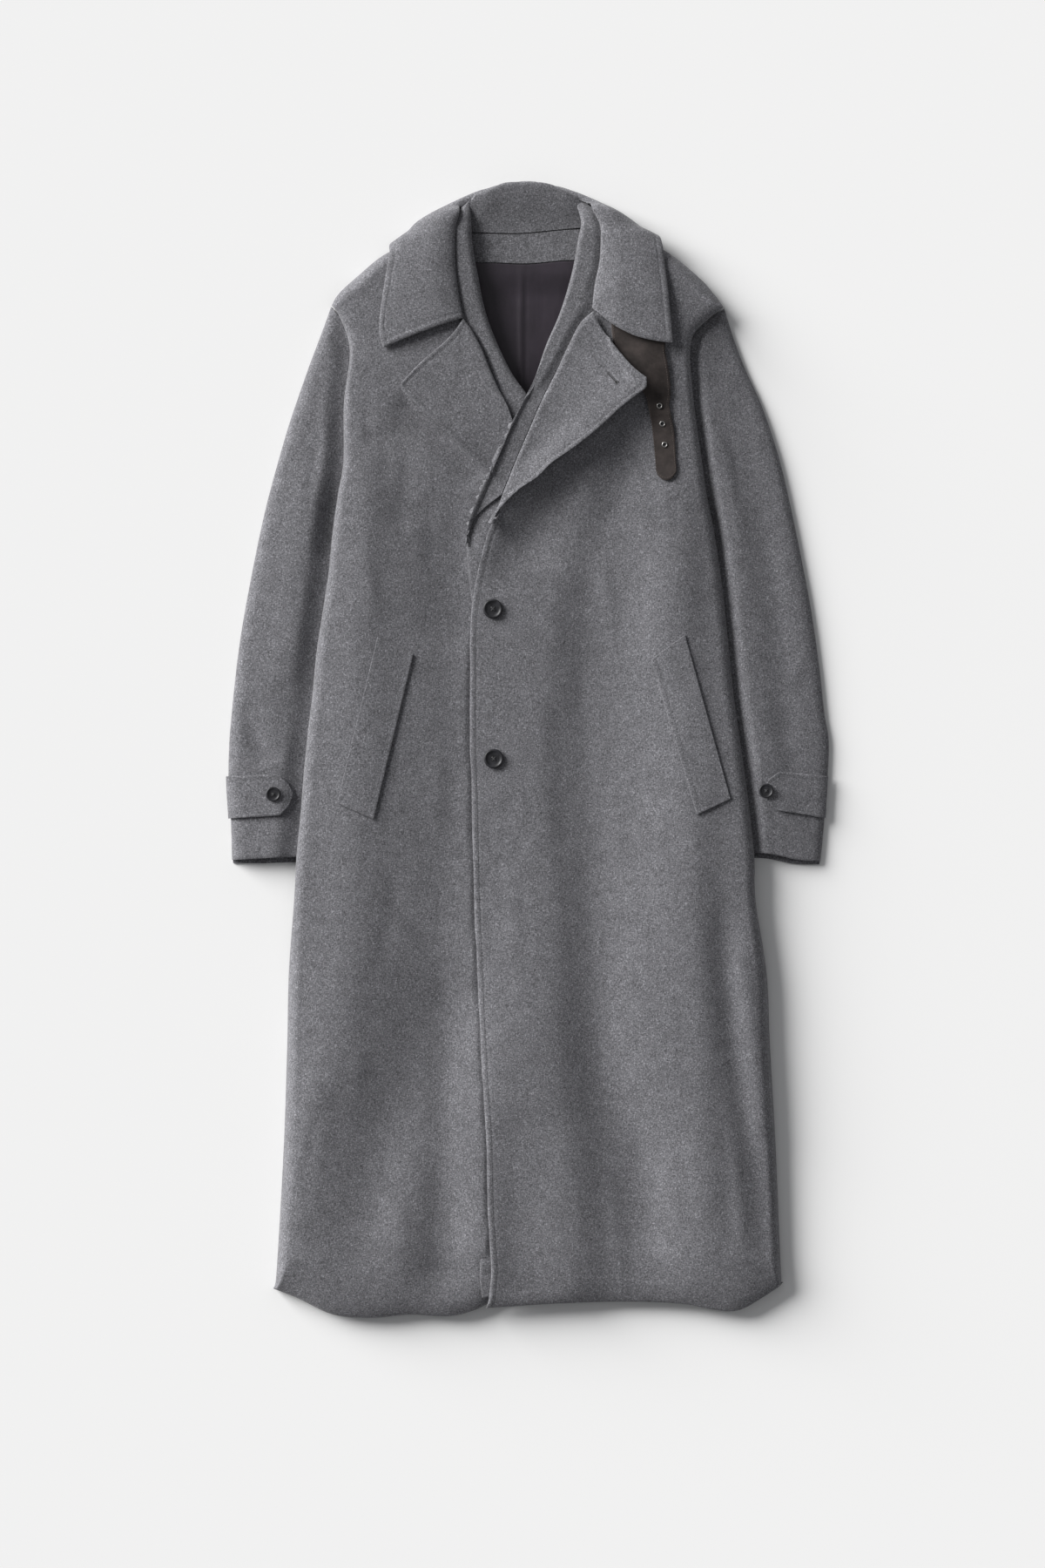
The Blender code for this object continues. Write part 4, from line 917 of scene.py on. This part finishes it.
# Sets each named socket to a value, or links it to another node
def feed(tree, node, **inputs):
    for key, value in inputs.items():
        socket = node.inputs[int(key[1:])] if key[1:].isdigit() else node.inputs[key.replace("_", " ")]
        if isinstance(value, bpy.types.NodeSocket):
            tree.links.new(value, socket)
        else:
            socket.default_value = value
    return node


def add(tree, kind, props=None, **inputs):
    node = tree.nodes.new("ShaderNode" + kind)
    for key, value in (props or {}).items():
        setattr(node, key, value)
    return feed(tree, node, **inputs)


def at(tree, scale=(1, 1, 1), turn=0.0):
    place = add(tree, "TexCoord").outputs["Object"]
    return add(tree, "Mapping", None, Vector=place, Rotation=(0, 0, turn), Scale=scale).outputs[0]


def noise(tree, where, scale, detail=3.0, rough=0.55):
    return add(tree, "TexNoise", None, Vector=where, Scale=scale, Detail=detail,
               Roughness=rough).outputs["Fac"]


def bands(tree, where, **inputs):
    props = {"wave_type": "BANDS", "bands_direction": "DIAGONAL"}
    return add(tree, "TexWave", props, Vector=where, **inputs).outputs["Fac"]


def mix(tree, *layers):
    mixed = 0.0
    for layer, share in layers:
        part = add(tree, "Math", {"operation": "MULTIPLY"}, i0=layer, i1=share).outputs[0]
        mixed = add(tree, "Math", {"operation": "ADD"}, i0=mixed, i1=part).outputs[0]
    return mixed


def shade(colour, factor):
    return tuple(c * factor for c in colour)


# Shades of one colour over a value: each stop has its place and its factor
def ramp(tree, value, colour, *stops):
    node = add(tree, "ValToRGB", None, Fac=value)
    bar = node.color_ramp
    while len(bar.elements) < len(stops):
        bar.elements.new(0.5)
    for element, (place, factor) in zip(bar.elements, stops):
        element.position = place
        element.color = (*shade(colour, factor), 1.0)
    return node.outputs["Color"]


def bump(tree, height, strength, distance, below=None):
    node = add(tree, "Bump", None, Height=height, Strength=strength, Distance=distance)
    if below is not None:
        tree.links.new(below, node.inputs["Normal"])
    return node.outputs[0]


# Brushed melange flannel: light and dark fibres over a faint twill
def wool_material(name, colour, turn=0.0):
    mat, tree, bsdf = new_material(name)
    where = at(tree)
    lay = noise(tree, at(tree, (330, 1500, 900), turn + 0.5), 1.0, 5.0, 0.7)
    cross = noise(tree, at(tree, (1500, 300, 900), turn - 0.4), 1.0, 5.0, 0.7)
    flecks = noise(tree, where, 560.0, 6.0, 0.8)
    clouds = noise(tree, where, 60.0, 5.0, 0.62)
    mixed = mix(tree, (lay, 0.27), (cross, 0.27), (flecks, 0.40), (clouds, 0.06))
    base = ramp(tree, mixed, colour, (0.41, 0.26), (0.465, 0.68), (0.5, 1.0), (0.535, 1.36), (0.59, 2.8))
    twill = bands(tree, at(tree, (1, 1, 1), turn), Scale=520.0, Distortion=2.2, Detail=2.0,
                  Detail_Scale=90.0)
    waves = bump(tree, noise(tree, where, 15.0, 2.0, 0.45), 0.4, 0.0022)
    soft = bump(tree, clouds, 0.2, 0.0011, waves)
    weave = bump(tree, twill, 0.22, 0.00025, soft)
    nap = bump(tree, mixed, 0.7, 0.0014, weave)
    feed(tree, bsdf, Base_Color=base, Normal=nap, Roughness=0.92, Specular_IOR_Level=0.22,
         Sheen_Weight=0.18, Sheen_Roughness=0.55)
    return mat


def lining_material():
    mat, tree, bsdf = new_material("lining_twill")
    where = at(tree)
    lines = bands(tree, where, Scale=900.0, Distortion=0.6, Detail=1.0)
    tone = mix(tree, (lines, 0.3), (noise(tree, where, 30.0, 3.0), 0.7))
    waves = bump(tree, noise(tree, at(tree, (26, 9, 20)), 1.0, 3.0), 0.7, 0.0022)
    feed(tree, bsdf, Base_Color=ramp(tree, tone, AUBERGINE, (0.3, 0.75), (0.7, 1.35)),
         Normal=bump(tree, lines, 0.2, 0.0002, waves), Roughness=0.42, Sheen_Weight=0.15)
    return mat


def leather_material():
    mat, tree, bsdf = new_material("strap_leather")
    where = at(tree)
    cells = add(tree, "TexVoronoi", {"feature": "DISTANCE_TO_EDGE"}, Vector=where,
                Scale=900.0).outputs["Distance"]
    wear = noise(tree, where, 60.0, 5.0, 0.65)
    feed(tree, bsdf, Base_Color=ramp(tree, wear, BROWN, (0.32, 0.62), (0.5, 1.0), (0.7, 1.55)),
         Normal=bump(tree, cells, 0.35, 0.0003, bump(tree, wear, 0.3, 0.0008)),
         Roughness=ramp(tree, wear, WHITE, (0.3, 0.78), (0.7, 0.58)), Specular_IOR_Level=0.3)
    return mat


def button_material():
    mat, tree, bsdf = new_material("button_horn")
    swirl = noise(tree, at(tree), 180.0, 4.0, 0.6)
    polish = noise(tree, at(tree), 700.0, 3.0)
    feed(tree, bsdf, Base_Color=ramp(tree, swirl, BLACK, (0.35, 0.6), (0.65, 2.2)),
         Roughness=ramp(tree, polish, WHITE, (0.4, 0.42), (0.7, 0.56)), Specular_IOR_Level=0.35)
    return mat


def metal_material():
    mat, tree, bsdf = new_material("eyelet_metal")
    worn = noise(tree, at(tree), 900.0, 4.0)
    feed(tree, bsdf, Base_Color=ramp(tree, worn, STEEL, (0.35, 0.6), (0.65, 1.0)), Metallic=1.0,
         Roughness=ramp(tree, worn, WHITE, (0.3, 0.5), (0.7, 0.3)))
    return mat


def thread_material(name, colour):
    mat, tree, bsdf = new_material(name)
    ply = noise(tree, at(tree, (1, 1, 1), 0.7), 2600.0, 2.0)
    feed(tree, bsdf, Base_Color=ramp(tree, ply, colour, (0.35, 0.7), (0.65, 1.35)), Roughness=0.7,
         Sheen_Weight=0.2)
    return mat


def plain_material(name, colour, **inputs):
    mat, tree, bsdf = new_material(name)
    feed(tree, bsdf, Base_Color=(*colour, 1), **inputs)
    return mat


# A line on a finished shell, a distance in from one of its edges
def inset_line(name, side, distance, trim=(0.0, 0.0)):
    grid = GRIDS[name]
    if side in ("top", "bottom"):
        grid = grid.transpose(1, 0, 2)
    if side in ("side", "bottom"):
        grid = grid[:, ::-1]
    line = np.array([at_lengths(row, run, distance) for row, run in zip(grid, along_rows(grid))])
    total = lengths(line)
    return line[(total >= trim[0]) & (total <= total[-1] - trim[1])]


# A ring of points round a centre, in the plane of two directions
def hoop(centre, radius, count, u=Vector((1, 0, 0)), v=Vector((0, 1, 0))):
    turns = [2 * math.pi * j / count for j in range(count)]
    return [tuple(Vector(centre) + (u * math.cos(a) + v * math.sin(a)) * radius) for a in turns]


# Faces of a closed round body: the bands between its rings of points, then both ends
def capped(rings, sides, first=0):
    faces = []
    last = first + (rings - 1) * sides
    for k in range(first, last, sides):
        for j in range(sides):
            i = (j + 1) % sides
            faces.append((k + j, k + i, k + sides + i, k + sides + j))
    faces.append(tuple(range(first + sides - 1, first - 1, -1)))
    faces.append(tuple(range(last, last + sides)))
    return faces


# Threads as round tubes along lines
def tubes(name, lines, radius, mat):
    points = []
    faces = []
    for line in lines:
        line = np.asarray(line, float)
        faces += capped(len(line), 6, len(points))
        ends = np.vstack([line[:1], line, line[-1:]])
        for here, ahead, behind in zip(line, ends[2:], ends):
            tangent = Vector(ahead - behind).normalized()
            side = tangent.cross(Vector((0, 0, 1))).normalized()
            points += hoop(here, radius, 6, side, side.cross(tangent).normalized())
    mesh_piece(name, points, faces, mat)


# Sewn stitches: short bowed threads pressed into the cloth along a line
def stitches(name, lines, base, mat, slot="wool", pitch=3.4, long=2.5, thick=0.30):
    points = []
    faces = []
    for line in lines:
        total = lengths(line)
        count = int(total[-1] / pitch)
        for k in range(count):
            middle = (k + 0.5) * total[-1] / count
            here, ahead, behind = at_lengths(line, total, (middle, middle + 0.8, middle - 0.8))
            tangent = Vector(ahead - behind).normalized()
            near = TREES[base].find_nearest(Vector(here))
            normal = near[1] if near[1].z > -0.2 else -near[1]
            across = tangent.cross(normal).normalized()
            faces += capped(len(STITCH), 5, len(points))
            for shift, radius, lift in STITCH:
                centre = Vector(here) + tangent * (shift * long) + normal * (lift * thick + 0.05)
                points += hoop(centre, radius * thick, 5, across, normal)
    mesh_piece(name, points, faces, mat)


# Topstitching along the named edges of a piece
def sew(name, sides, inset, trim, mat, *size):
    lines = [inset_line(name, side, inset, trim) for side in sides.split()]
    stitches(name + "_stitches", lines, name, mat, *size)


def sewing(thread, brown_thread):
    for side in ("right", "left"):
        sew("lapel_" + side, "top side", EDGE_SEWN, (6.0, 6.0), thread)
    for i, (side, trim) in enumerate((("side", 6.0), ("top", 2.0), ("bottom", 2.0))):
        line = inset_line("collar", side, EDGE_SEWN, (trim, 6.0))
        for j, sign in enumerate((-1, 1)):
            leaf = line[line[:, 0] * sign > 78]
            if len(leaf) > 2:
                stitches("collar_stitches_%d_%d" % (i, j), [leaf], "collar", thread)
    front = inset_line("front_left", "inner", FRONT_SEWN, (420.0, 8.0))
    stitches("front_edge_stitches", [front], "front_left", thread)
    for side in ("right", "left"):
        sew("pocket_welt_" + side, "side", EDGE_SEWN, (3.0, 3.0), thread)
        sew("cuff_strap_" + side, "inner side bottom", CUFF_SEWN, (4.0, 5.0), thread)
    sew("chest_strap", "inner side bottom", LEATHER_SEWN, (3.0, 4.0), brown_thread, "leather",
        2.8, 2.0, 0.26)


# Button: turned disc with a round rim, a dished middle, four holes and its thread; the holes are flat
# near-black discs of painted shade
def button(name, x, y, radius, base, mat, thread, painted_shade):
    low = drape_point(base, x, y, radius) + 0.45
    tall = radius * 0.34
    points = []
    for r, h in BUTTON:
        points += hoop((x, y, low + h * tall), r * radius, 56)
    obj = mesh_piece(name + "_disc", points, capped(len(BUTTON), 56), mat)
    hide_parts(name)
    top = low + 0.62 * tall
    turns = [math.pi / 4 + k * math.pi / 2 + 0.05 for k in range(4)]
    holes = [(x + 0.27 * radius * math.cos(t), y + 0.27 * radius * math.sin(t)) for t in turns]
    # The holes are flat lids in the painted shade material: painted shade in place of openings
    points = []
    for hole in holes:
        points += hoop((*hole, top + 0.03), 0.1 * radius, 16)
    lids = [tuple(range(k, k + 16)) for k in range(0, 64, 16)]
    mesh_piece(name + "_holes", points, lids, painted_shade)
    lines = []
    for n, (a, b) in enumerate(((holes[0], holes[2]), (holes[1], holes[3]))):
        along = np.linspace(a, b, 9)
        normal = np.array([-(b[1] - a[1]), b[0] - a[0]]) / math.dist(a, b)
        high = top + 0.25 + 0.55 * np.sin(np.linspace(0, np.pi, 9)) + 0.2 * n
        lines += [np.column_stack([along + normal * shift, high]) for shift in (-0.35, 0.0, 0.35)]
    tubes(name + "_thread", lines, BUTTON_THREAD, thread)


# Metal ring round a hole in the leather strap; the hole is a near-black disc of painted shade
def eyelet(name, x, y, metal, painted_shade):
    low = drape_point("chest_strap", x, y, 3.9) + 0.35
    around = 40
    points = []
    faces = []
    n = len(EYELET)
    for i in range(around):
        a = 2 * math.pi * i / around
        k = (i + 1) % around
        points += [(x + r * math.cos(a), y + r * math.sin(a), low + h) for r, h in EYELET]
        faces += [(k * n + j, k * n + (j + 1) % n, i * n + (j + 1) % n, i * n + j) for j in range(n)]
    obj = mesh_piece(name + "_ring", points, faces, metal)
    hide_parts(name)
    # Near-black disc inside the ring: painted shade in place of the hole
    disc = hoop((x, y, low - 0.1), EYELET_IN, 24)
    mesh_piece(name + "_hole", disc, [tuple(range(24))], painted_shade)


# Buttonhole worked in close stitches round a slit, with an eye at one end; the slit is a near-black strip
# of painted shade
def buttonhole(name, start, end, base, mat, painted_shade):
    a = np.array(start, float)
    length = np.linalg.norm(np.array(end, float) - a)
    d = (np.array(end, float) - a) / length
    n = np.array([-d[1], d[0]])
    lines = []
    for k in range(int(length / 0.55)):
        s = k * 0.55
        grow = 1.0 + 0.9 * smooth(length - 4.5, length - 1.5, s)
        for sign in (-1, 1):
            inner = a + d * s + n * sign * 0.25 * grow ** 2
            outer = a + d * s + n * sign * 1.5 * grow ** 0.7
            line = []
            for t in (0.0, 0.5, 1.0):
                p = inner * (1 - t) + outer * t
                bow = 0.12 + 0.3 * math.sin(math.pi * (0.25 + 0.6 * t))
                line.append((*p, drape_point(base, *p, 0.3) + bow))
            lines.append(line)
    tubes(name, lines, HOLE_THREAD, mat)
    # Near-black strip along the slit: painted shade in place of the opening
    slit = []
    for sign in (1, -1):
        for s in np.linspace(0.0, length - 1.0, 14):
            grow = 1.0 + 0.9 * float(smooth(length - 4.5, length - 1.5, s))
            p = a + d * s + n * sign * 0.28 * grow ** 2
            slit.append((*p, drape_point(base, *p, 0.3) + 0.1))
    faces = [(i, i + 1, i + 15, i + 14) for i in range(13)]
    mesh_piece(name + "_shadow_slit", slit, faces, painted_shade)


# A low sun from the upper left, wide enough for soft shadows
def daylight():
    light = bpy.data.lights.new("daylight", "SUN")
    light.angle = math.radians(SUN_WIDTH)
    light.energy = SUN_POWER
    light.color = (1.0, 0.996, 0.988)
    obj = bpy.data.objects.new("daylight", light)
    bpy.context.scene.collection.objects.link(obj)
    low = math.radians(SUN_HEIGHT)
    turn = math.radians(SUN_TURN)
    toward = Vector((-math.cos(low) * math.cos(turn), math.cos(low) * math.sin(turn), math.sin(low)))
    obj.rotation_euler = toward.to_track_quat("Z", "Y").to_euler()


# Pale paper floor and a pale sky
def studio():
    corners = [(-6.0, -6.0), (6.0, -6.0), (6.0, 6.0), (-6.0, 6.0)]
    mesh = bpy.data.meshes.new("floor")
    mesh.from_pydata([(x, y, -0.0003) for x, y in corners], [], [(0, 1, 2, 3)])
    paper = plain_material("floor_paper", shade(WHITE, 0.85), Roughness=0.95, Specular_IOR_Level=0.1)
    mesh.materials.append(paper)
    floor = bpy.data.objects.new("floor", mesh)
    bpy.context.scene.collection.objects.link(floor)
    daylight()
    world = bpy.data.worlds.new("studio")
    world.use_nodes = True
    sky = world.node_tree.nodes["Background"]
    feed(world.node_tree, sky, Color=(0.97, 0.98, 1.0, 1), Strength=SKY)
    bpy.context.scene.world = world
    bpy.context.scene.view_settings.view_transform = "Standard"


# Camera straight above; the photograph shows 1 mm of the coat for each of its dots
def camera():
    frame_tall = 1.8
    height = 7.0
    coat_plane = 0.022
    data = bpy.data.cameras.new("camera")
    data.sensor_width = 36.0
    data.lens = 36.0 * (height - coat_plane) / frame_tall
    data.clip_end = 50.0
    obj = bpy.data.objects.new("camera", data)
    bpy.context.scene.collection.objects.link(obj)
    obj.location = (*metres((-5.0, -38.0, 0.0))[:2], height)
    bpy.context.scene.camera = obj


def cloth_pieces(wool, across, inner):
    fronts(wool)
    back(wool)
    sleeve("right", -1, wool)
    sleeve("left", 1, wool)
    chest_strap(leather_material())
    lapel("lapel_right", LAPEL_RIGHT, "front_right", (0.6, 5.0), across)
    lapel("lapel_left", LAPEL_LEFT, "front_left chest_strap", (3.5, 8.0), across)
    inner_band("inner_front_right", INNER_RIGHT, -1, inner)
    inner_band("inner_lapel_left", INNER_LEFT, 1, inner)
    inner_strip(inner)
    collar(across)
    inner_collar(inner)
    on_back("neck_facing", NECK_FACING, THIN, inner, "wool", (60, 20))
    on_back("lining", LINING, 1.2, lining_material(), "lining", (70, 70))


def main():
    across = wool_material("wool_flannel_turned", GREY, 0.6)
    inner = wool_material("wool_flannel_inner", shade(GREY, 0.93), -0.3)
    cloth_pieces(wool_material("wool_flannel", GREY), across, inner)
    # Near-black painted shade that stands in for the shadow inside the button holes, the eyelets and the
    # buttonhole slit
    painted_shade = plain_material("gap_painted_shade", (0.006, 0.006, 0.007), Roughness=0.9)
    metal = metal_material()
    for i, (x, y) in enumerate(EYELETS):
        eyelet("eyelet_%d" % (i + 1), x, y, metal, painted_shade)
    welt("pocket_welt_right", WELT_RIGHT, "front_right", across)
    welt("pocket_welt_left", WELT_LEFT, "front_left", across)
    cuff_strap("cuff_strap_right", "sleeve_top_right", -1, CUFF_STRAP_RIGHT, across)
    cuff_strap("cuff_strap_left", "sleeve_top_left", 1, CUFF_STRAP_LEFT, across)
    horn = button_material(), thread_material("button_thread", (0.03, 0.03, 0.033)), painted_shade
    for name, x, y, radius, base in BUTTONS:
        button(name, x, y, radius, base, *horn)
    thread = thread_material("wool_thread", shade(GREY, 0.8))
    sewing(thread, thread_material("leather_thread", (0.075, 0.056, 0.048)))
    buttonhole("lapel_buttonhole", (92, 433), (104, 420.4), "lapel_left", thread, painted_shade)
    studio()
    camera()


main()
